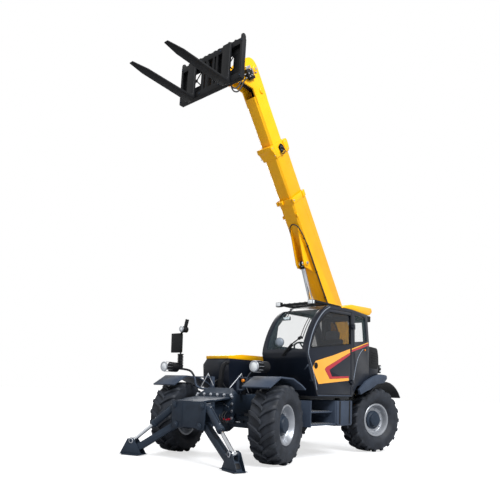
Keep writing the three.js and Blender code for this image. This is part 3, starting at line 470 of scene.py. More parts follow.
for corner, side in (("front_left", 1), ("front_right", -1), ("rear_left", 1), ("rear_right", -1)):
    outward = Vector(joints["spin_" + corner]["axis"]).normalized() * side
    place = axesAt(spot("spin_" + corner), outward, zAxis.cross(outward) * side, zAxis)
    wheelBody = "wheel_" + corner
    show(placedCopy(tyreMesh, place), "tread_" + corner, wheelBody, paint["tyreRubber"], ["tyre_" + corner],
         40)
    show(placedCopy(rimMesh, place), "rim_" + corner, wheelBody, paint["rimSilver"], ["wheel_" + corner], 40)
    show(placedCopy(hubMesh, place), "hub_" + corner, wheelBody, paint["frameNavy"], (), 40)
    show(placedCopy(nutMesh, place), "wheel_nuts_" + corner, wheelBody, paint["zinc"], (), 40)
    refined("knuckle_" + corner, paint["frameNavy"])
print("wheels made")

# ---------- nodes that keep their shape, with rounded edges ----------
kept = {
    "front_axle": ("frameNavy", 0.005), "rear_axle": ("frameNavy", 0.005), "chassis": ("frameNavy", 0.003),
    "engine_bay": ("bodyNavy", 0.006), "engine_block": ("blackSteel", 0.008),
    "engine_hood": ("hoodYellow", 0.014), "cab_shell": ("bodyNavy", 0.008), "cab_door": ("bodyNavy", 0.006),
    "cab_mount": ("frameNavy", 0.003), "roof_cover": ("hoodYellow", 0.016),
    "roof_visor": ("blackSteel", 0.004), "dashboard": ("blackPlastic", 0.006),
    "rear_body_left": ("bodyNavy", 0.02), "rear_body_right": ("bodyNavy", 0.02),
    "tank_box": ("fenderGrey", 0.012), "side_steps": ("fenderGrey", 0.003),
    "mirror_mast": ("blackPlastic", 0.004), "fender_front_left": ("fenderGrey", 0.005),
    "fender_front_right": ("fenderGrey", 0.005), "fender_rear_left": ("fenderGrey", 0.005),
    "fender_rear_right": ("fenderGrey", 0.005), "boom_outer": ("boomYellow", 0.004),
    "boom_middle": ("boomYellow", 0.004), "boom_inner": ("boomYellow", 0.004),
    "fork_carriage": ("blackSteel", 0.004), "fork_left": ("blackSteel", 0.004), "fork_right": ("blackSteel",
                                                                                               0.004),
    "lift_barrel": ("frameNavy", 0.003), "lift_rod": ("chrome", 0.002), "tilt_barrel": ("blackSteel", 0.003),
    "tilt_rod": ("chrome", 0.002), "stabiliser_bracket": ("frameNavy", 0.004), "windscreen": ("windowGlass",
                                                                                              0.0),
    "rear_window": ("windowGlass", 0.0), "right_window": ("windowGlass", 0.0),
    "quarter_window": ("windowGlass", 0.0), "door_window": ("sideGlass", 0.0),
}
for side in ("left", "right"):
    kept["stabiliser_leg_" + side] = ("frameNavy", 0.003)
    kept["stabiliser_barrel_" + side] = ("frameNavy", 0.003)
    kept["stabiliser_rod_" + side] = ("chrome", 0.002)
forkWidening = 1.16  # the shown blades are this much wider than the CAD's, about their own middle
rearAxleY = spot("spin_rear_left").y
secondFinish = {
    "fender_front": lambda at: at.z > 1.262,
    "fender_rear": lambda at: at.y > rearAxleY + 0.132 or abs(at.x) < 1.185,
}
for node, (look, soft) in kept.items():
    piece = refined(node, paint[look], soft)
    if node in ("fork_left", "fork_right"):
        middle = (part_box(node)[0].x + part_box(node)[1].x) / 2
        piece.data.transform(Matrix.Translation((middle, 0, 0)) @ Matrix.Scale(forkWidening, 4, xAxis)
                             @ Matrix.Translation((-middle, 0, 0)))
    chosen = secondFinish.get(node.rsplit("_", 1)[0])
    if chosen:
        repaint(piece, paint["blackPlastic"], chosen)
print("frame nodes refined:", len(kept))

# ---------- nose, lamps and mirror mast ----------
noseLook = {"boltRow": 6, "boltX": 0.368, "boltZ": (0.955, 0.850, 0.745, 0.640), "boltSize": 0.021,
            "lensRadius": 0.070}


def lampFace(bm, glassBm, at, axis, radius):  # bezel ring and reflector in one mesh, lens in the other
    at, axis = Vector(at), Vector(axis).normalized()
    addSpun(bm, [(radius * 0.2, 0.001), (radius, 0.001), (radius + 0.010, 0.006), (radius + 0.010, 0.022),
                 (radius + 0.004, 0.028), (radius - 0.004, 0.022), (radius - 0.004, 0.010),
                 (radius * 0.2, 0.004), (radius * 0.2, 0.001)], at, axis, 40)
    addSpun(glassBm, [(0, 0.006), (radius - 0.006, 0.010), (radius - 0.006, 0.018), (radius * 0.7, 0.028),
                      (radius * 0.35, 0.033), (0, 0.034)], at, axis, 40)


def noseParts():
    bolts = bmesh.new()
    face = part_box("chassis")[0].y
    for i in range(noseLook["boltRow"]):
        addBolt(bolts, (-0.35 + 0.70 * i / (noseLook["boltRow"] - 1), face, 0.981), -yAxis,
                noseLook["boltSize"])
    for z in noseLook["boltZ"]:
        for side in (-1, 1):
            addBolt(bolts, (side * noseLook["boltX"], face, z), -yAxis, noseLook["boltSize"])
    show(bolts, "nose_bolts", "chassis", paint["zinc"])

    trim, dots = bmesh.new(), bmesh.new()
    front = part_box("stabiliser_bracket")[0].y
    for x, z in ((0.247, 0.529), (-0.247, 0.529), (0.291, 0.817), (-0.291, 0.817)):
        at = Vector((x, front, z))
        addSpun(trim, [(0, 0), (0.048, 0), (0.048, 0.010), (0.040, 0.014), (0.022, 0.014), (0.020, 0.020),
                       (0, 0.020)],
                at + yAxis * 0.001, -yAxis, 32, 0.001)
        addBolt(trim, at + Vector((0.062 * (1 if x < 0 else -1), 0.001, 0.03)), -yAxis, 0.008)
    addBox(trim, (-0.128, front - 0.003, 0.512), (-0.120, front + 0.001, 0.868), None, 0.001)
    addPlate(trim, [(0.178, 0.742), (0.205, 0.722), (0.330, 0.716), (0.338, 0.742), (0.336, 0.878),
                    (0.182, 0.886)],
             -face, -face + 0.010, headOn, 0.003)
    for x in (0.222, 0.262, 0.302):
        addBolt(dots, (x, face - 0.010, 0.845 - (x - 0.222) * 0.5), -yAxis, 0.009)
    show(trim, "nose_trim", "chassis", paint["frameNavy"])
    show(dots, "nose_trim_bolts", "chassis", paint["zinc"])

    light = bmesh.new()
    for route in (((-0.312, -1.270, 1.090), (-0.408, -1.013, 1.310), (-0.135, -1.170, 1.112)),
                  ((0.288, -1.262, 1.090), (0.300, -1.013, 1.308), (0.318, -0.85, 1.02))):
        run = [Vector(p) for p in route]
        addTube(light, smoothRoute([run[0], run[0].lerp(run[1], 0.94), run[1], run[1].lerp(run[2], 0.06),
                                    run[2]], 4),
                0.007, 8)
    show(light, "nose_rods", "chassis", paint["zinc"])

    caps = bmesh.new()
    for x, z in ((0.235, 0.62), (0.285, 0.61), (0.335, 0.625)):
        addRod(caps, (x, face + 0.001, z), (x, face - 0.045, z - 0.006), 0.016, 20, 0.003)
    show(caps, "hydraulic_caps", "chassis", paint["redStripe"])

    hoses = bmesh.new()
    for k in range(3):
        x = 0.235 + 0.05 * k
        addTube(hoses, smoothRoute([(x, face - 0.040, 0.61), (x + 0.01, face - 0.075, 0.57),
                                    (x - 0.03, face - 0.09, 0.66), (x - 0.05, face - 0.03, 0.72),
                                    (x - 0.05, face + 0.01, 0.735)]), 0.009)
    addTube(hoses, smoothRoute([(0.40, -1.05, 1.02), (0.42, -1.08, 1.12), (0.385, -1.06, 1.20),
                                (0.37, -1.00, 1.26), (0.36, -0.90, 1.18), (0.34, -0.80, 1.04)]), 0.008)
    addTube(hoses, smoothRoute([(-0.36, -0.95, 1.02), (-0.40, -0.90, 1.14), (-0.36, -0.80, 1.22),
                                (-0.31, -0.70, 1.10), (-0.30, -0.62, 1.02)]), 0.009)
    show(hoses, "nose_hoses", "chassis", paint["hoseRubber"])

    post = bmesh.new()
    addPlate(post, [(-0.93, 0.99), (-0.87, 0.99), (-0.80, 1.40), (-0.76, 1.468), (-0.70, 1.47),
                    (-0.70, 1.51), (-0.79, 1.508), (-0.86, 1.42)], -0.296, -0.236, sideOn, 0.004)
    show(post, "hood_stay_post", "chassis", paint["blackSteel"])


noseParts()


def headLamps():
    shell, lens = bmesh.new(), bmesh.new()
    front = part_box("fender_front_left")[0].y
    for side in (1, -1):
        at = Vector((side * 0.945, front - 0.0005, 1.405))
        lampFace(shell, lens, at, -yAxis, noseLook["lensRadius"])
        for k in range(10):
            a = 2 * math.pi * k / 10
            at2 = at + Vector((0.084 * math.cos(a), 0.055, 0.084 * math.sin(a)))
            addBox(shell, at2 - Vector((0.003, 0.05, 0.003)), at2 + Vector((0.003, 0.05, 0.003)), None, 0.001)
    show(shell, "head_lamp_bezels", "chassis", paint["zinc"])
    show(lens, "head_lamp_lenses", "chassis", paint["lampWhite"])
    amber = bmesh.new()
    addSpun(amber, [(0, 0), (0.026, 0), (0.026, 0.018), (0.018, 0.028), (0, 0.030)], (0.398, -1.075, 1.205),
            -yAxis, 24)
    show(amber, "front_marker", "chassis", paint["amberLens"])
    holder = bmesh.new()
    addPlate(holder, [(-1.075, 0.99), (-1.045, 0.99), (-1.045, 1.245), (-1.075, 1.245)], 0.365, 0.430,
             sideOn, 0.002)
    show(holder, "front_marker_plate", "chassis", paint["blackSteel"])


headLamps()


def mast():
    coil = bmesh.new()
    x, y = -0.905, -1.178
    turns, low, high = 7, 1.440, 1.612
    route = [(x + 0.044 * math.cos(2 * math.pi * i / 14), y + 0.044 * math.sin(2 * math.pi * i / 14),
              low + (high - low) * i / (14 * turns)) for i in range(14 * turns + 1)]
    addTube(coil, route, 0.008, 8)
    for z in (1.428, 1.622):
        addSpun(coil, [(0, 0), (0.052, 0), (0.052, 0.014), (0, 0.014)], (x, y, z - 0.007), zAxis, 24, 0.002)
    show(coil, "mast_spring", "chassis", paint["blackPlastic"])
    glass = bmesh.new()
    low, high = Vector((-1.062, -1.171, 1.662)), Vector((-0.872, -1.169, 1.958))
    addBox(glass, low, high, None, 0.0008)
    show(glass, "mirror_face", "chassis", paint["mirrorGlass"])
    lamp, lens = bmesh.new(), bmesh.new()
    lampFace(lamp, lens, (-0.816, -1.2485, 2.034), -yAxis, 0.038)
    show(lamp, "mast_lamp_bezel", "chassis", paint["zinc"])
    show(lens, "mast_lamp_lens", "chassis", paint["lampWhite"])


mast()
print("nose, lamps and mast made")

# ---------- cab ----------
cabLook = {"face": 1.190, "doorFace": 1.188}


def cabTrimAndHighlights():
    pale, dark = bmesh.new(), bmesh.new()
    skin = cabLook["face"] + 0.001
    front = [(y, z) for y, z in frontCurve]
    # painted highlight: pale tubes along the door's front edge and the rear quarter's curved body line stand in
    # for the light caught on these edges
    addTube(pale, smoothRoute([(skin, y + 0.030, z) for y, z in front], 4), 0.006, 8)
    addTube(pale, smoothRoute([(skin, 0.842, 1.17), (skin, 0.905, 1.38), (skin, 0.98, 1.60),
                               (skin, 1.075, 1.74), (skin, 1.19, 1.825)], 5), 0.005, 8)
    show(pale, "cab_painted_highlight_lines", "chassis", paint["paleTrimAndHighlight"])
    addTube(dark, [(skin, -0.23, 1.012), (skin, 0.79, 1.012)], 0.008, 8)
    show(dark, "door_sill", "chassis", paint["fenderGrey"])

    glassSide = bmesh.new()
    y0, y1 = -0.575, -0.46
    addTube(glassSide, smoothRoute([(1.178, y0 - 0.012, 1.40), (1.222, y0 - 0.022, 1.44),
                                    (1.222, y0 + 0.02, 1.46), (1.222, y1, 1.27), (1.222, y1 + 0.02, 1.235),
                                    (1.178, y1 + 0.02, 1.24)], 6), 0.009, 10)
    show(glassSide, "grab_rail", "chassis", paint["frameNavy"])

    marker = bmesh.new()
    addSpun(marker, [(0, 0), (0.016, 0), (0.016, 0.008), (0.010, 0.012), (0, 0.013)], (1.1895, 1.262, 1.815),
            xAxis, 20)
    show(marker, "side_marker", "chassis", paint["amberLens"])


frontCurve = [(-0.290, 1.10), (-0.345, 1.25), (-0.420, 1.42), (-0.500, 1.56), (-0.545, 1.66), (-0.505, 1.83),
              (-0.406, 2.04), (-0.268, 2.215), (-0.115, 2.345), (0.045, 2.425)]
cabTrimAndHighlights()


def wiper():
    arm = bmesh.new()
    base = Vector((0.747, -0.572, 1.615))
    elbow = Vector((0.925, -0.575, 1.790))
    addTube(arm, [base, base.lerp(elbow, 0.5), elbow], 0.017, 10)
    addTube(arm, [base + Vector((0.03, 0, -0.01)), elbow + Vector((0.03, 0, -0.01))], 0.009, 8)
    knob = Vector((1.043, -0.525, 1.885))
    addTube(arm, smoothRoute([elbow, elbow.lerp(knob, 0.5), knob], 4), 0.010, 8)
    addRod(arm, knob + Vector((-0.03, 0.005, -0.01)), knob + Vector((0.03, -0.012, 0.01)), 0.024, 16, 0.004)
    show(arm, "wiper_arm", "chassis", paint["blackPlastic"])
    blade = bmesh.new()
    for shift in (-0.022, 0.022):
        addTube(blade, smoothRoute([(1.050 + shift, -0.512, 1.870), (1.056 + shift, -0.455, 1.990),
                                    (1.058 + shift, -0.380, 2.110), (1.056 + shift, -0.286, 2.225)], 4),
                0.006, 8)
    show(blade, "wiper_blade", "chassis", paint["blackSteel"])


wiper()


def cabInside():
    trim = bmesh.new()
    addBox(trim, (0.47, -0.205, 2.215), (0.62, -0.185, 2.275), None, 0.008)
    addTube(trim, [(0.545, -0.190, 2.260), (0.545, -0.130, 2.345), (0.545, -0.10, 2.392)], 0.007)
    addBox(trim, (0.90, 0.13, 2.275), (1.07, 0.34, 2.395), None, 0.012)
    addBox(trim, (1.045, 0.30, 1.47), (1.120, 0.50, 1.60), None, 0.015)
    addRod(trim, (1.080, 0.33, 1.58), (1.080, 0.30, 1.70), 0.012)
    addRod(trim, (1.080, 0.30, 1.69), (1.080, 0.295, 1.745), 0.024, 20, 0.008)
    show(trim, "cab_fittings", "chassis", paint["blackPlastic"])
    face = bmesh.new()
    addBox(face, (0.478, -0.2075, 2.221), (0.612, -0.2045, 2.269), None, 0.001)
    addSpun(face, [(0, 0), (0.042, 0), (0.042, 0.004), (0, 0.006)], (1.0695, 0.20, 2.330), xAxis, 24)
    addSpun(face, [(0, 0), (0.042, 0), (0.042, 0.004), (0, 0.006)], (1.0695, 0.285, 2.330), xAxis, 24)
    show(face, "cab_mirror_and_vents", "chassis", paint["mirrorGlass"])
    far = bmesh.new()
    at, ahead = Vector((0.452, -0.245, 1.850)), Vector((0.35, -0.9, 0.05)).normalized()
    addSpun(far, [(0, 0), (0.052, 0.004), (0.074, 0.016), (0.080, 0.028), (0.076, 0.034), (0, 0.034)], at,
            ahead, 36)
    show(far, "far_mirror_shell", "chassis", paint["blackPlastic"])
    dish = bmesh.new()
    addSpun(dish, [(0, 0.0345), (0.074, 0.0345), (0.071, 0.042), (0.053, 0.054), (0.027, 0.060), (0, 0.062)],
            at, ahead, 36)
    show(dish, "far_mirror_face", "chassis", paint["paleTrimAndHighlight"])
    stay = bmesh.new()
    addTube(stay, smoothRoute([at + ahead * 0.01, (0.462, -0.235, 1.77), (0.490, -0.240, 1.69),
                               (0.540, -0.250, 1.632)]),
            0.009)
    show(stay, "far_mirror_stay", "chassis", paint["blackPlastic"])


cabInside()


def roofParts():
    bars = bmesh.new()
    low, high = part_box("roof_visor")
    for x in (0.52, 0.62, 0.72, 0.82, 0.92, 1.02):
        addBox(bars, (x, low.y + 0.030, high.z - 0.026), (x + 0.014, -0.02, high.z - 0.012), None, 0.002)
    for y in (-0.20, -0.12, -0.04):
        addBox(bars, (low.x + 0.03, y, high.z - 0.024), (high.x - 0.03, y + 0.016, high.z - 0.008), None,
               0.002)
    for x in (low.x + 0.005, high.x - 0.105):
        addBox(bars, (x, low.y - 0.040, low.z - 0.006), (x + 0.100, low.y + 0.030, low.z + 0.068), None,
               0.008)
        addBox(bars, (x + 0.036, low.y - 0.01, low.z + 0.060),
               (x + 0.064, low.y + 0.03, low.z + 0.078 - 0.016), None, 0.002)
    show(bars, "visor_grille", "chassis", paint["blackSteel"])
    glow = bmesh.new()
    for x in (low.x + 0.012, high.x - 0.098):
        addBox(glow, (x, low.y - 0.0435, low.z + 0.002), (x + 0.086, low.y - 0.0395, low.z + 0.060), None,
               0.0015)
        addBox(glow, (x - 0.0095 if x < 0.7 else x + 0.0915, low.y - 0.032, low.z + 0.004),
               (x - 0.0065 if x < 0.7 else x + 0.0945, low.y + 0.020, low.z + 0.058), None, 0.001)
    show(glow, "visor_lamps", "chassis", paint["lampWhite"])
    vent = bmesh.new()
    addBox(vent, (0.80, 1.330, 2.335), (1.165, 1.505, 2.440), None, 0.012)
    addBox(vent, (0.45, 1.335, 2.360), (0.79, 1.420, 2.440), None, 0.008)
    show(vent, "roof_vent_box", "chassis", paint["blackPlastic"])


roofParts()
print("cab fitted")

# ---------- door ----------
doorLook = {"stripe": 0.0008}


def stripe(bm, outline, face):  # a thin printed band on a flat side
    addPlate(bm, outline, face, face + doorLook["stripe"], sideOn, 0, 1)


def doorParts():
    face = cabLook["doorFace"] + 0.0001
    broad = bmesh.new()
    stripe(broad, [(0.716, 1.793), (0.20, 1.658), (-0.307, 1.542), (-0.394, 1.428), (-0.214, 1.19),
                   (0.717, 1.267), (0.713, 1.31), (0.11, 1.275), (-0.045, 1.423), (0.001, 1.463),
                   (0.745, 1.739), (0.742, 1.800)], face)
    show(broad, "door_band_broad", "cab_door", paint["orangeStripe"])
    narrow = bmesh.new()
    stripe(narrow, [(0.744, 1.7345), (0.001, 1.459), (-0.040, 1.423), (0.112, 1.279), (0.713, 1.3135),
                    (0.712, 1.340), (0.176, 1.317), (0.099, 1.423), (0.746, 1.699)], face)
    show(narrow, "door_band_narrow", "cab_door", paint["redStripe"])
    metal = bmesh.new()
    at = Vector((cabLook["doorFace"] - 0.001, -0.300, 1.472))
    addSpun(metal, [(0, 0), (0.046, 0), (0.046, 0.010), (0.040, 0.015), (0.030, 0.012), (0.026, 0.008),
                    (0.010, 0.008), (0.009, 0.018), (0, 0.019)], at, xAxis, 36, 0.001)
    addBox(metal, at + Vector((0.004, -0.010, -0.034)), at + Vector((0.020, 0.030, -0.018)), None, 0.005)
    show(metal, "door_handle", "cab_door", paint["blackPlastic"])
    seal = bmesh.new()
    edge = [(y + 0.437, z) for y, z in ((-0.366, 2.346), (-0.500, 2.276), (-0.648, 2.146), (-0.776, 1.976),
                                        (-0.866, 1.800), (-0.874, 1.742), (0.318, 1.884), (0.300, 2.366))]
    run = smoothRoute([(1.1885, y, z) for y, z in edge[:6]], 4) + [Vector((1.1885, y, z)) for y,
                                                                   z in edge[6:]]
    run.append(run[0])
    addTube(seal, run, 0.007, 8)
    show(seal, "door_window_seal", "cab_door", paint["blackPlastic"])
    inner = bmesh.new()
    addBox(inner, (1.128, 0.02, 1.62), (1.1535, 0.55, 1.66), None, 0.008)
    addBox(inner, (1.128, -0.22, 1.50), (1.1535, -0.06, 1.56), None, 0.01)
    show(inner, "door_inside_rail", "cab_door", paint["blackPlastic"])


doorParts()


def quarterBands():
    broad, narrow = bmesh.new(), bmesh.new()
    face = cabLook["face"] + 0.0001
    stripe(broad, [(0.800, 1.808), (1.366, 1.960), (1.385, 1.948), (0.800, 1.788)], face)
    stripe(narrow, [(0.800, 1.781), (1.386, 1.940), (1.390, 1.908), (0.800, 1.752)], face)
    show(broad, "quarter_band_broad", "chassis", paint["orangeStripe"])
    show(narrow, "quarter_band_narrow", "chassis", paint["redStripe"])


quarterBands()
print("door and bands made")

# ---------- driver's seat ----------
seatLook = {"centre": 0.770, "cushion": (0.225, 0.235, 0.075), "back": (0.215, 0.300, 0.060),
            "head": (0.125, 0.085, 0.045)}


def paddedBlock(name, middle, half, lean, cloth):  # a crowned cushion with rounded sides
    bm = bmesh.new()
    bmesh.ops.create_cube(bm, size=2)
    bmesh.ops.subdivide_edges(bm, edges=bm.edges, cuts=5, use_grid_fill=True)
    for vert in bm.verts:
        x, y, z = vert.co
        edge = max(abs(x), abs(y))
        swell = 1.0 - 0.35 * edge ** 4
        roundness = 1.0 - 0.10 * (x * x * y * y)
        vert.co = Vector((x * half[0] * roundness, y * half[1] * roundness,
                          z * half[2] * swell + (0.010 * (abs(x) ** 3) if z > 0 else 0)))
    place = Matrix.Translation(Vector(middle)) @ Matrix.Rotation(lean, 4, "X")
    bmesh.ops.transform(bm, matrix=place, verts=bm.verts)
    piece = show(bm, name, "chassis", paint[cloth], (), 80)
    smoothing = piece.modifiers.new("smoothing", "SUBSURF")
    smoothing.levels = smoothing.render_levels = 1
    return piece


def seat():
    frameParts = bmesh.new()
    x = seatLook["centre"]
    addBox(frameParts, (x - 0.17, 0.43, 1.045), (x + 0.17, 0.73, 1.085), None, 0.008)
    addBox(frameParts, (x - 0.12, 0.46, 1.08), (x + 0.12, 0.70, 1.25), None, 0.03)
    for k in range(4):
        addBox(frameParts, (x - 0.135 - 0.004 * (k % 2), 0.45, 1.10 + 0.034 * k),
               (x + 0.135 + 0.004 * (k % 2), 0.71,
                                                                            1.126 + 0.034 * k), None, 0.010)
    addBox(frameParts, (x - 0.20, 0.36, 1.25), (x + 0.20, 0.79, 1.315), None, 0.02)
    addPlate(frameParts, [(0.755, 1.33), (0.842, 1.34), (0.938, 1.98), (0.905, 1.99), (0.842, 1.70)],
             x - 0.18, x + 0.18, sideOn, 0.010)
    for side in (-1, 1):
        addBox(frameParts, (x + side * 0.235 - 0.025, 0.42, 1.575), (x + side * 0.235 + 0.025, 0.74, 1.612),
               None, 0.015)
        addBox(frameParts, (x + side * 0.232 - 0.012, 0.70, 1.42), (x + side * 0.232 + 0.012, 0.78, 1.60),
               None, 0.008)
    show(frameParts, "seat_frame", "chassis", paint["blackPlastic"], ["driver_seat"])
    paddedBlock("seat_cushion", (x, 0.555, 1.385), seatLook["cushion"], math.radians(4), "seatCloth")
    paddedBlock("seat_back", (x, 0.805, 1.690), seatLook["back"], math.radians(81), "seatCloth")
    paddedBlock("seat_headrest", (x, 0.875, 2.045), seatLook["head"], math.radians(82), "headrestCloth")


seat()
print("seat made")

# ---------- rear quarter, lamps, steps and tank ----------
def rearParts():
    box = bmesh.new()
    addPlate(box, [(1.425, 1.56), (1.455, 1.50), (1.76, 1.50), (1.805, 1.60), (1.79, 1.74), (1.755, 1.85),
                   (1.72, 1.885), (1.50, 1.895), (1.44, 1.87)], 0.86, 1.188, sideOn, 0.022, 3)
    for k in range(5):
        z = 1.60 + 0.045 * k
        addBox(box, (1.186, 1.52, z), (1.194, 1.72, z + 0.018), None, 0.002)
    show(box, "intake_box", "chassis", paint["blackPlastic"])
    pipe = bmesh.new()
    addTube(pipe, smoothRoute([(1.10, 1.74, 1.62), (1.12, 1.84, 1.60), (1.12, 1.88, 1.54),
                               (1.12, 1.885, 1.46)], 5), 0.030, 14)
    addTube(pipe, smoothRoute([(1.15, 1.70, 1.56), (1.15, 1.80, 1.57), (1.15, 1.84, 1.50),
                               (1.15, 1.80, 1.42)], 5), 0.014, 10)
    show(pipe, "rear_hoses", "chassis", paint["hoseRubber"])
    lampBody, red, white = bmesh.new(), bmesh.new(), bmesh.new()
    for side in (1, -1):
        place = fromTop if side > 0 else otherSide(fromTop)
        addBox(lampBody, (0.98, 1.862, 1.435), (1.17, 1.935, 1.585), place, 0.012)
        addBox(lampBody, (1.00, 1.80, 1.30), (1.05, 1.90, 1.46), place, 0.006)
        for z, target in ((1.548, red), (1.472, red)):
            addBox(target, (1.00, 1.930, z - 0.024), (1.15, 1.942, z + 0.024), place, 0.005)
        for k in range(2):
            z = 1.548 - 0.076 * k
            addBox(white, (1.166, 1.875, z - 0.016), (1.174, 1.893, z + 0.016), place, 0.002)
            addBox(white, (1.166, 1.905, z - 0.016), (1.174, 1.923, z + 0.016), place, 0.002)
    show(lampBody, "tail_lamp_bodies", "chassis", paint["blackPlastic"])
    show(red, "tail_lamp_lenses", "chassis", paint["redLens"])
    show(white, "tail_lamp_sides", "chassis", paint["lampWhite"])
    bolts = bmesh.new()
    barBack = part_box("chassis")[1].y
    for x in (-0.36, -0.28, -0.12, 0.12, 0.28, 0.36):
        addBolt(bolts, (x, barBack - 0.0005, 1.135), yAxis, 0.014)
    for y in (2.61, 2.66):
        addBolt(bolts, (0.42, y, 1.135), xAxis, 0.010)
    show(bolts, "tow_bar_bolts", "chassis", paint["zinc"])
    rearFace = bmesh.new()
    addBox(rearFace, (-0.10, barBack - 0.002, 0.90), (0.10, barBack + 0.000, 1.08), None, 0.001)
    addSpun(rearFace, [(0.020, 0), (0.05, 0), (0.05, 0.03), (0.020, 0.03), (0.020, 0)],
            (0, barBack - 0.055, 0.94), zAxis, 24)
    show(rearFace, "tow_plate", "chassis", paint["frameNavy"])


rearParts()


def stepParts():
    tread, cap = bmesh.new(), bmesh.new()
    low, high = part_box("side_steps")
    for z, outerX in ((0.562, high.x), (0.757, high.x - 0.06)):
        for i in range(7):
            x = outerX - 0.05 - 0.055 * i
            for k in range(9):
                y = low.y + 0.06 + 0.074 * k
                addBox(tread, (x - 0.016, y, z - 0.0005), (x + 0.016, y + 0.045, z + 0.006), None, 0.002)
    show(tread, "step_treads", "chassis", paint["zinc"])
    tankLow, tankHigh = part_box("tank_box")
    middle = (tankLow.y + tankHigh.y) / 2
    addSpun(cap, [(0, 0), (0.060, 0), (0.060, 0.012), (0.046, 0.016), (0.046, 0.034), (0.040, 0.040),
                  (0, 0.041)],
            (1.02, middle, tankHigh.z - 0.001), zAxis, 28, 0.001)
    for y in (tankLow.y + 0.09, tankHigh.y - 0.09):
        addBox(cap, (tankHigh.x - 0.001, y - 0.022, tankLow.z + 0.03),
               (tankHigh.x + 0.003, y + 0.022, tankHigh.z - 0.006), None, 0.001)
    show(cap, "tank_cap_and_straps", "chassis", paint["blackSteel"])
    latch = bmesh.new()
    lowHood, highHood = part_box("engine_hood")
    for y in (lowHood.y + 0.35, highHood.y - 0.45):
        addBox(latch, (lowHood.x - 0.004, y - 0.04, lowHood.z + 0.010),
               (lowHood.x + 0.002, y + 0.04, lowHood.z + 0.034), None, 0.002)
    show(latch, "hood_latches", "engine_hood", paint["blackPlastic"])
    grille = bmesh.new()
    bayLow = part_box("engine_bay")[0]
    for k in range(9):
        z = 1.02 + 0.045 * k
        addBox(grille, (bayLow.x - 0.004, -0.10, z), (bayLow.x + 0.002, 0.95, z + 0.020), None, 0.002)
    for k in range(8):
        z = 1.14 + 0.045 * k
        addBox(grille, (-0.80, bayLow.y + 0.020, z), (-0.46, bayLow.y + 0.030, z + 0.018), None, 0.002)
    show(grille, "bay_grilles", "chassis", paint["blackPlastic"])


stepParts()


def axleParts():
    metal, shine = bmesh.new(), bmesh.new()
    for corner, forward in (("front", -1), ("rear", 1)):
        y = (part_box(corner + "_axle")[0].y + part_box(corner + "_axle")[1].y) / 2
        z = 0.58
        at = y + forward * 0.128
        addRod(metal, (-0.30, at, z + 0.010), (0.30, at, z + 0.010), 0.036, 28, 0.003)
        for side in (-1, 1):
            addRod(metal, (side * 0.30, at, z + 0.010), (side * 0.325, at, z + 0.010), 0.042, 28, 0.003)
            addRod(shine, (side * 0.32, at, z + 0.010), (side * 0.46, at, z + 0.010), 0.016, 20, 0.002)
            addRod(metal, (side * 0.455, at, z + 0.010), (side * 0.500, at, z + 0.010), 0.024, 20, 0.005)
            addBox(metal, (side * 0.22 - 0.02, min(y, at), z - 0.03),
                   (side * 0.22 + 0.02, max(y, at), z + 0.03), None, 0.003)
        for k in range(10):
            a = 2 * math.pi * k / 10
            addBolt(metal, (0.150 * math.cos(a), y - 0.03, z + 0.150 * math.sin(a)), -yAxis, 0.007)
    show(metal, "steering_cylinders", "chassis", paint["frameNavy"])
    show(shine, "steering_cylinder_rods", "chassis", paint["chrome"])


axleParts()
print("rear, steps and axles dressed")

# ---------- boom ----------
cabSign = 1 if (boomAxes.to_3x3() @ zAxis).x > 0 else -1


def along(a, u, x):  # a point of the boom: along it, square to it, towards the machine's left
    return boomAxes @ Vector((a, u, x * cabSign))


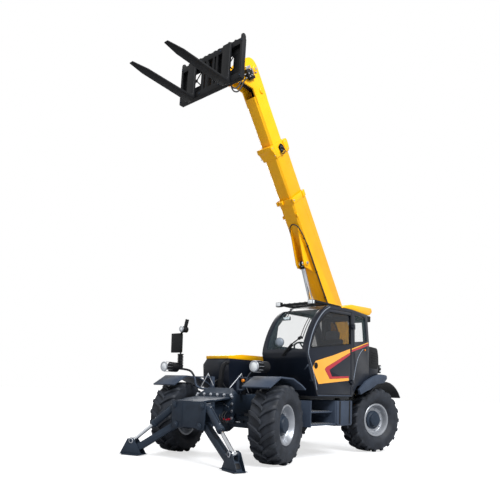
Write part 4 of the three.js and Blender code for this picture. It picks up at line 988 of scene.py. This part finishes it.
def boomOuterTrim():
    seam = bmesh.new()
    for sign in (1, -1):
        run = [along(a, u, sign * 0.1497) for a, u in ((3.20, 0.172), (2.41, 0.236), (1.75, 0.258),
                                                       (1.66, 0.285),
                                                      (1.622, 0.312))]
        addTube(seam, smoothRoute(run, 3), 0.0022, 6)
        addTube(seam, [along(0.35, -0.100, sign * 0.1497), along(0.35, 0.315, sign * 0.1497)], 0.0022, 6)
    addTube(seam, [along(3.18, -0.1347, -0.11), along(3.18, -0.1347, 0.11)], 0.0022, 6)
    addTube(seam, [along(1.62, -0.1347, -0.11), along(1.62, -0.1347, 0.11)], 0.0022, 6)
    for sign in (1, -1):
        addPlate(seam, [(3.245, -0.150), (3.325, -0.150), (3.325, -0.085), (3.245, -0.085)], sign * 0.146,
                 sign * 0.185, boomAxes, 0.006)
        addPlate(seam, [(3.215, 0.235), (3.325, 0.235), (3.325, 0.338), (3.215, 0.300)], sign * 0.146,
                 sign * 0.170, boomAxes, 0.006)
        addBox(seam, (2.985, -0.140, sign * 0.150 - 0.012), (3.045, -0.100, sign * 0.150 + 0.012), boomAxes,
               0.004)
    addPlate(seam, [(3.255, -0.130), (3.325, -0.130), (3.330, -0.165), (3.318, -0.185), (3.262, -0.185),
                    (3.250, -0.165)],
             -0.110 * cabSign, -0.030 * cabSign, boomAxes, 0.010, 3)
    show(seam, "outer_section_trim", "boom_outer", paint["boomYellow"])
    bolts = bmesh.new()
    for sign in (1, -1):
        outward = along(0, 0, sign) - along(0, 0, 0)
        addBolt(bolts, along(3.285, -0.118, sign * 0.184), outward, 0.013)
        addBolt(bolts, along(2.131, -0.265, sign * 0.113), outward, 0.024)
    show(bolts, "outer_section_bolts", "boom_outer", paint["zinc"])
    hose = bmesh.new()
    edge = 0.155
    addTube(hose, smoothRoute([along(0.55, -0.128, edge), along(1.32, -0.146, edge),
                               along(1.863, -0.146, edge), along(2.35, -0.146, edge),
                               along(2.60, -0.150, 0.150), along(2.80, -0.160, 0.110),
                               along(2.87, -0.165, 0.020), along(2.80, -0.165, -0.070), along(2.60, -0.160,
                                                                                              -0.110),
                               along(2.40, -0.185, -0.112), along(2.22, -0.250, -0.112),
                               along(2.17, -0.262, -0.100)], 5),
            0.010, 10)
    addTube(hose, smoothRoute([along(0.55, -0.128, edge + 0.018), along(1.32, -0.128, edge + 0.004),
                               along(2.30, -0.128, edge + 0.004), along(2.50, -0.140, 0.152),
                               along(2.58, -0.150, 0.130)], 5),
            0.007, 8)
    show(hose, "lift_hoses", "boom_outer", paint["hoseRubber"])
    clips = bmesh.new()
    for a in (0.75, 1.32, 1.863, 2.40):
        addBox(clips, (a - 0.012, -0.158, edge * cabSign - 0.010),
               (a + 0.012, -0.112, edge * cabSign + 0.014), boomAxes, 0.003)
    show(clips, "hose_clips", "boom_outer", paint["blackSteel"])


boomOuterTrim()


def boomMiddleTrim():
    body = bmesh.new()
    for sign in (1, -1):
        addPlate(body, [(4.080, 0.175), (4.288, 0.175), (4.288, 0.300), (4.250, 0.318), (4.160, 0.318),
                        (4.085, 0.300)],
                 sign * 0.100, sign * 0.168, boomAxes, 0.012, 3)
    addTube(body, [along(3.70, -0.1197, -0.095), along(3.70, -0.1197, 0.095)], 0.002, 6)
    show(body, "middle_section_lugs", "boom_middle", paint["boomYellow"])
    disc, shine = bmesh.new(), bmesh.new()
    outward = along(0, 0, 1) - along(0, 0, 0)
    at = along(4.178, 0.075, 0.150)
    addSpun(disc, [(0, 0), (0.068, 0), (0.068, 0.016), (0.060, 0.024), (0.046, 0.024), (0.044, 0.018),
                   (0.020, 0.018), (0.018, 0.034), (0, 0.036)], at, outward, 36, 0.001)
    addTube(disc, smoothRoute([along(4.168, 0.11, 0.172), along(4.115, 0.125, 0.184),
                               along(4.085, 0.08, 0.180), along(4.095, 0.02, 0.172),
                               along(4.13, 0.0, 0.165)], 5), 0.009, 8)
    addTube(disc, smoothRoute([along(4.19, 0.03, 0.172), along(4.235, 0.01, 0.182), along(4.25, 0.06, 0.178),
                               along(4.23, 0.11, 0.168)], 5), 0.008, 8)
    show(disc, "hose_pulley", "boom_middle", paint["blackSteel"])
    for k in range(6):
        a = 2 * math.pi * k / 6
        addBolt(shine, along(4.178 + 0.032 * math.cos(a), 0.075 + 0.032 * math.sin(a), 0.167), outward, 0.006)
    for sign in (1, -1):
        side = along(0, 0, sign) - along(0, 0, 0)
        for a, u in ((4.12, -0.17), (4.25, -0.17), (4.12, 0.24), (4.25, 0.24)):
            addBolt(shine, along(a, u, sign * (0.1505 if u < 0 else 0.1675)), side, 0.008)
    show(shine, "middle_section_bolts", "boom_middle", paint["zinc"])


boomMiddleTrim()


def headTrim():
    capped, black, shine, hose = bmesh.new(), bmesh.new(), bmesh.new(), bmesh.new()
    for sign in (1, -1):
        side = along(0, 0, sign) - along(0, 0, 0)
        addSpun(capped, [(0, 0), (0.066, 0), (0.066, 0.010), (0.056, 0.020), (0.036, 0.026), (0, 0.028)],
                along(5.495, 0.135, sign * 0.1185), side, 36, 0.001)
        addSpun(shine, [(0, 0), (0.022, 0), (0.022, 0.006), (0, 0.008)], along(5.495, 0.135, sign * 0.1455),
                side, 24)
        addSpun(capped, [(0, 0), (0.050, 0), (0.050, 0.012), (0.042, 0.018), (0, 0.018)],
                along(5.15, 0.12, sign * 0.1185), side, 28, 0.001)
        addTube(capped, smoothRoute([along(5.02, -0.060, sign * 0.119), along(5.22, -0.068, sign * 0.119),
                                     along(5.35, -0.20, sign * 0.119), along(5.42, -0.42, sign * 0.119)], 4),
                0.003, 6)
    show(capped, "head_caps", "boom_inner", paint["boomYellow"])
    addBox(black, (5.400, -0.190, 0.118 * cabSign), (5.530, -0.040, 0.190 * cabSign), boomAxes, 0.008)
    addBox(black, (5.368, -0.140, 0.118 * cabSign), (5.414, 0.020, 0.165 * cabSign), boomAxes, 0.006)
    show(black, "head_valve", "boom_inner", paint["blackSteel"])
    addBox(shine, (5.535, -0.150, 0.118 * cabSign), (5.580, -0.020, 0.165 * cabSign), boomAxes, 0.006)
    addBox(shine, (5.422, -0.034, 0.118 * cabSign), (5.525, 0.020, 0.160 * cabSign), boomAxes, 0.006)
    for a, u in ((5.42, -0.150), (5.47, -0.160), (5.51, -0.08), (5.44, 0.05), (5.43, -0.09)):
        addRod(shine, along(a, u, 0.150), along(a, u, 0.196), 0.013, 6, 0.002)
    for a in (5.420, 5.475):
        addRod(shine, along(a, -0.186, 0.150), along(a, -0.235, 0.150), 0.012, 16, 0.002)
    show(shine, "head_fittings", "boom_inner", paint["zinc"])
    for a, x in ((5.420, 0.150), (5.475, 0.150)):
        run = [along(a, -0.230, x), along(a - 0.03, -0.34, x + 0.015), along(a - 0.10, -0.48, x + 0.02),
               along(a - 0.13, -0.58, x + 0.01), along(a - 0.10, -0.655, x - 0.005),
               along(a - 0.03, -0.665, x - 0.012), along(a + 0.015, -0.635, x - 0.014),
               along(a + 0.01, -0.59, x - 0.028)]
        addTube(hose, smoothRoute(run, 6), 0.011, 10)
    show(hose, "head_hoses", "boom_inner", paint["hoseRubber"])


headTrim()
print("boom dressed")

# ---------- carriage and forks ----------
toolAxes = Matrix.Translation(spot("fork_tilt")) @ Matrix.Rotation(math.radians(-2.6), 4, "X")
carriageLook = {"plateBack": -0.238, "plateFront": -0.250, "windowX": (0.235, 0.445),
                "windowZ": (-0.085, 0.135)}


def carriageTrim():
    plates = bmesh.new()
    look = carriageLook
    y0, y1 = look["plateFront"], look["plateBack"]
    x0, x1 = look["windowX"]
    z0, z1 = look["windowZ"]
    for mirror in (1, -1):
        place = toolAxes @ Matrix.Scale(mirror, 4, xAxis)
        addBox(plates, (0.162, y0, -0.215), (0.613, y1, z0), place, 0.002)
        addBox(plates, (0.162, y0, z1), (0.613, y1, 0.236), place, 0.002)
        addBox(plates, (0.162, y0, z0 - 0.002), (x0, y1, z1 + 0.002), place, 0.002)
        addBox(plates, (x1, y0, z0 - 0.002), (0.613, y1, z1 + 0.002), place, 0.002)
        middle = Vector(((x0 + x1) / 2, (y0 + y1) / 2, (z0 + z1) / 2))
        for ends in (((x0, z0), (x1, z1)), ((x0, z1), (x1, z0))):
            a, b = (Vector((x, middle.y, z)) for x, z in ends)
            addRod(plates, place @ a, place @ b, 0.009, 10, 0)
        addRod(plates, place @ (middle + Vector((0, 0.008, 0))), place @ (middle - Vector((0, 0.008, 0))),
               0.024, 20, 0.002)
        addPlate(plates, [(-0.298, 0.300), (-0.216, 0.300), (-0.222, 0.372), (-0.240, 0.394),
                          (-0.268, 0.400), (-0.292, 0.388), (-0.300, 0.360)], 0.612 * mirror, 0.648 * mirror,
                 toolAxes @ sideOn, 0.005)
        for x in (0.255, 0.485):
            addPlate(plates, [(-0.292, 0.318), (-0.230, 0.318), (-0.236, 0.350), (-0.262, 0.364),
                              (-0.286, 0.350)],
                     (x - 0.012) * mirror, (x + 0.012) * mirror, toolAxes @ sideOn, 0.004)
        for x in (0.060, 0.150):
            addRod(plates, place @ Vector((x - 0.020, -0.262, 0.332)),
                   place @ Vector((x + 0.020, -0.262, 0.332)), 0.026, 24, 0.003)
        for x in (0.300, 0.440):
            addPlate(plates, [(-0.2155, 0.300), (-0.190, 0.296), (-0.186, 0.250), (-0.2155, 0.244)],
                     (x - 0.010) * mirror, (x + 0.010) * mirror, toolAxes @ sideOn, 0.002)
    show(plates, "carriage_plates", "fork_carriage", paint["blackSteel"])
    pins = bmesh.new()
    for mirror in (1, -1):
        place = toolAxes @ Matrix.Scale(mirror, 4, xAxis)
        for x, z in ((0.628, -0.262), (0.628, 0.284), (0.205, 0.277), (0.205, -0.255)):
            addBolt(pins, place @ Vector((x, -0.2995, z)), (toolAxes.to_3x3() @ -yAxis), 0.011)
        addSpun(pins, [(0, 0), (0.030, 0), (0.030, 0.006), (0.020, 0.010), (0, 0.010)],
                place @ Vector((0.1580, 0, 0)), (toolAxes.to_3x3() @ xAxis) * mirror, 28)
    show(pins, "carriage_pins", "fork_carriage", paint["frameNavy"])


carriageTrim()


def forkTrim():
    lugs = bmesh.new()
    for x in (0.370, -0.370):
        addBox(lugs, (x - 0.050, -0.300, 0.299), (x + 0.050, -0.268, 0.338), toolAxes, 0.004)
        addBox(lugs, (x - 0.020, -0.296, 0.330), (x + 0.020, -0.272, 0.356), toolAxes, 0.004)
    show(lugs, "fork_hooks", "fork_carriage", paint["blackSteel"])


forkTrim()
print("carriage dressed")

# ---------- cylinders and stabilisers ----------
toe = math.radians(17.8)


def liftTrim():
    eye = bmesh.new()
    ahead = Vector(joints["lift_rod_slide"]["axis"]).normalized()
    at = along(2.131, -0.265, 0)
    addSpun(eye, [(0.046, 0), (0.051, 0.004), (0.053, 0.014), (0.053, 0.040), (0.050, 0.048), (0.046, 0.048),
                  (0.046, 0)],
            at - ahead * 0.098, ahead, 32)
    side = boomAxes.to_3x3() @ zAxis
    addSpun(eye, [(0.048, 0), (0.052, 0.002), (0.052, 0.050), (0.048, 0.052), (0.048, 0)], at - side * 0.026,
            side, 32)
    show(eye, "lift_rod_eye", "lift_rod", paint["blackSteel"])
    barrel = bmesh.new()
    base = spot("lift_barrel_swing")
    for d, radius in ((1.515, 0.070), (0.10, 0.070)):
        addSpun(barrel, [(0.060, 0), (radius, 0), (radius, 0.044), (0.060, 0.044), (0.060, 0)],
                base + ahead * d, ahead, 32, 0.003)
    out = xAxis * cabSign
    pipe = [base + ahead * 0.16 + out * 0.060, base + ahead * 0.19 + out * 0.078,
            base + ahead * 0.5 + out * 0.078, base + ahead * 1.40 + out * 0.078,
            base + ahead * 1.47 + out * 0.060]
    addTube(barrel, smoothRoute(pipe, 5), 0.009, 10)
    show(barrel, "lift_barrel_collars", "lift_barrel", paint["frameNavy"])


liftTrim()


def stabiliserTrim(side, sign):
    out = Vector((sign * math.cos(toe), -math.sin(toe), 0))
    place = axesAt(spot("stabiliser_" + side), out, zAxis, out.cross(zAxis))
    rings, caps, dark, cheeks = (bmesh.new() for _ in range(4))
    for k in (1, -1):
        face = Vector((0.800, -0.300, 0.0685 * k))
        outward = place.to_3x3() @ (zAxis * k)
        addSpun(rings, [(0.026, 0), (0.040, 0), (0.040, 0.010), (0.034, 0.014), (0.028, 0.014),
                        (0.026, 0.010), (0.026, 0)],
                place @ face, outward, 32)
        addSpun(caps, [(0, 0), (0.025, 0), (0.025, 0.012), (0.018, 0.017), (0, 0.018)], place @ face,
                outward, 28)
        addBolt(caps, place @ Vector((0.800, -0.475, 0.0625 * k)), outward, 0.011)
    for low, high in ((0.0625, 0.0690), (-0.0690, -0.0625)):
        addPlate(cheeks, [(0.605, -0.504), (0.998, -0.504), (0.992, -0.486), (0.872, -0.275), (0.800, -0.252),
                          (0.745, -0.290), (0.622, -0.478)], low, high, place, 0.002)
    addBox(cheeks, (0.596, -0.5100, -0.098), (1.006, -0.5035, 0.098), place, 0.002)
    addPlate(dark, [(0.915, -0.480), (0.924, -0.476), (0.872, -0.410), (0.863, -0.414)], -0.044, 0.044,
             place, 0.001)
    for w in (-0.082, 0.082):
        for u in (0.700, 0.925):
            addBolt(caps, place @ Vector((u, -0.5035, w)), zAxis, 0.008)
    show(rings, "foot_pin_rings_" + side, "stabiliser_leg_" + side, paint["zinc"])
    show(caps, "foot_pin_caps_" + side, "stabiliser_leg_" + side, paint["frameNavy"])
    show(cheeks, "foot_cheeks_" + side, "stabiliser_leg_" + side, paint["frameNavy"])
    show(dark, "foot_inner_panel_" + side, "stabiliser_leg_" + side, paint["blackPlastic"])
    ahead = Vector(joints["stabiliser_rod_slide_" + side]["axis"]).normalized()
    base = spot("stabiliser_barrel_swing_" + side)
    rise = place.to_3x3() @ zAxis
    upper = ahead.cross(rise).normalized()
    upper = upper if upper.z > 0 else -upper
    collar = bmesh.new()
    for d, width, radius in ((0.468, 0.054, 0.059), (0.056, 0.030, 0.057), (0.086, 0.382, 0.053)):
        addSpun(collar, [(0.040, 0), (radius, 0), (radius, width), (0.040, width), (0.040, 0)],
                base + ahead * d, ahead, 32, 0.003)
    addTube(collar, smoothRoute([base + ahead * 0.085 + upper * 0.044, base + ahead * 0.105 + upper * 0.060,
                                 base + ahead * 0.25 + upper * 0.060, base + ahead * 0.40 + upper * 0.060,
                                 base + ahead * 0.425 + upper * 0.046], 5), 0.007, 10)
    show(collar, "barrel_collars_" + side, "stabiliser_barrel_" + side, paint["frameNavy"])
    port = bmesh.new()
    for d in (0.430, 0.085):
        addRod(port, base + ahead * d + upper * 0.040, base + ahead * d + upper * 0.058, 0.011, 6, 0.001)
    addRod(port, base + ahead * 0.425 + rise * 0.040, base + ahead * 0.425 + rise * 0.052, 0.012, 16, 0.002)
    show(port, "barrel_ports_" + side, "stabiliser_barrel_" + side, paint["zinc"])


stabiliserTrim("left", 1)
stabiliserTrim("right", -1)
print("cylinders and stabilisers dressed")

# ---------- stage, light and camera ----------
stageLook = {"floor": "#b4b6ba", "lift": (0.66, 1.3), "fade": (5.0, 13.0), "key": 5200.0, "fill": 70.0,
             "back": 800.0, "sky": 0.29, "mirrored": 0.6}
cameraLook = {"place": (5.751, -7.405, 1.118), "ahead": (-0.6643, 0.7453, 0.0569),
              "up": (0.0154, -0.0624, 0.9979), "lens": 39.15, "shiftX": 0.04, "shiftY": 0.21}


def plainFinish(name, colour):
    material = bpy.data.materials.new(name)
    material.use_nodes = True
    tree = material.node_tree
    shader = tree.nodes["Principled BSDF"]
    shader.inputs["Base Color"].default_value = linear(colour)
    shader.inputs["Roughness"].default_value = 0.7
    rays = tree.nodes.new("ShaderNodeLightPath").outputs["Is Camera Ray"]
    distance = tree.nodes.new("ShaderNodeVectorMath")
    distance.operation = "LENGTH"
    tree.links.new(tree.nodes.new("ShaderNodeTexCoord").outputs["Object"], distance.inputs[0])
    glow = tree.nodes.new("ShaderNodeMapRange")
    glow.inputs["From Min"].default_value, glow.inputs["From Max"].default_value = stageLook["fade"]
    glow.inputs["To Min"].default_value, glow.inputs["To Max"].default_value = stageLook["lift"]
    tree.links.new(distance.outputs["Value"], glow.inputs["Value"])
    lift = tree.nodes.new("ShaderNodeMath")
    lift.operation = "MULTIPLY"
    tree.links.new(rays, lift.inputs[0])
    tree.links.new(glow.outputs["Result"], lift.inputs[1])
    tree.links.new(lift.outputs["Value"], shader.inputs["Emission Strength"])
    shader.inputs["Emission Color"].default_value = (1, 1, 1, 1)
    return material


def makeStage():
    mesh = bpy.data.meshes.new("floor")
    reach = 60
    mesh.from_pydata([(-reach, -reach, 0), (reach, -reach, 0), (reach, reach, 0), (-reach, reach, 0)], [],
                     [(0, 1, 2, 3)])
    mesh.materials.append(plainFinish("paleFloor", stageLook["floor"]))
    floor = bpy.data.objects.new("floor", mesh)
    bpy.context.scene.collection.objects.link(floor)


def areaLight(name, place, target, size, power):
    light = bpy.data.lights.new(name, "AREA")
    light.energy = power
    light.size = size
    lamp = bpy.data.objects.new(name, light)
    lamp.location = place
    lamp.rotation_euler = (Vector(target) - Vector(place)).to_track_quat("-Z", "Y").to_euler()
    bpy.context.scene.collection.objects.link(lamp)


def makeWorld():
    world = bpy.data.worlds.new("studio")
    bpy.context.scene.world = world
    world.use_nodes = True
    tree = world.node_tree
    rays = tree.nodes.new("ShaderNodeLightPath")
    mirrored = tree.nodes.new("ShaderNodeMath")
    mirrored.operation = "MULTIPLY"
    mirrored.inputs[1].default_value = stageLook["mirrored"]
    tree.links.new(rays.outputs["Is Glossy Ray"], mirrored.inputs[0])
    direct = tree.nodes.new("ShaderNodeMath")
    direct.operation = "MAXIMUM"
    tree.links.new(rays.outputs["Is Camera Ray"], direct.inputs[0])
    tree.links.new(rays.outputs["Is Transmission Ray"], direct.inputs[1])
    seen = tree.nodes.new("ShaderNodeMath")
    seen.operation = "MAXIMUM"
    tree.links.new(direct.outputs["Value"], seen.inputs[0])
    tree.links.new(mirrored.outputs["Value"], seen.inputs[1])
    strength = tree.nodes.new("ShaderNodeMapRange")
    strength.inputs["To Min"].default_value = stageLook["sky"]
    strength.inputs["To Max"].default_value = 1.0
    tree.links.new(seen.outputs["Value"], strength.inputs["Value"])
    tree.links.new(strength.outputs["Result"], tree.nodes["Background"].inputs["Strength"])
    tree.nodes["Background"].inputs["Color"].default_value = (1, 1, 1, 1)


def makeCamera():
    data = bpy.data.cameras.new("camera")
    data.lens = cameraLook["lens"]
    data.sensor_width = 36
    data.shift_x = cameraLook["shiftX"]
    data.shift_y = cameraLook["shiftY"]
    data.clip_end = 200
    camera = bpy.data.objects.new("camera", data)
    ahead = Vector(cameraLook["ahead"]).normalized()
    right = ahead.cross(Vector(cameraLook["up"])).normalized()
    camera.matrix_world = axesAt(cameraLook["place"], right, right.cross(ahead), -ahead)
    bpy.context.scene.collection.objects.link(camera)
    bpy.context.scene.camera = camera


makeStage()
makeWorld()
makeCamera()
areaLight("key", (14, -5.5, 15.5), (0.4, -0.5, 2.4), 8.0, stageLook["key"])
areaLight("fill", (-5, -9, 5), (0, -1, 1.5), 6.0, stageLook["fill"])
areaLight("back", (-8, 8, 9), (0, 0, 2.5), 7.0, stageLook["back"])
bpy.context.scene.view_settings.view_transform = "Standard"
print("stage, light and camera placed")
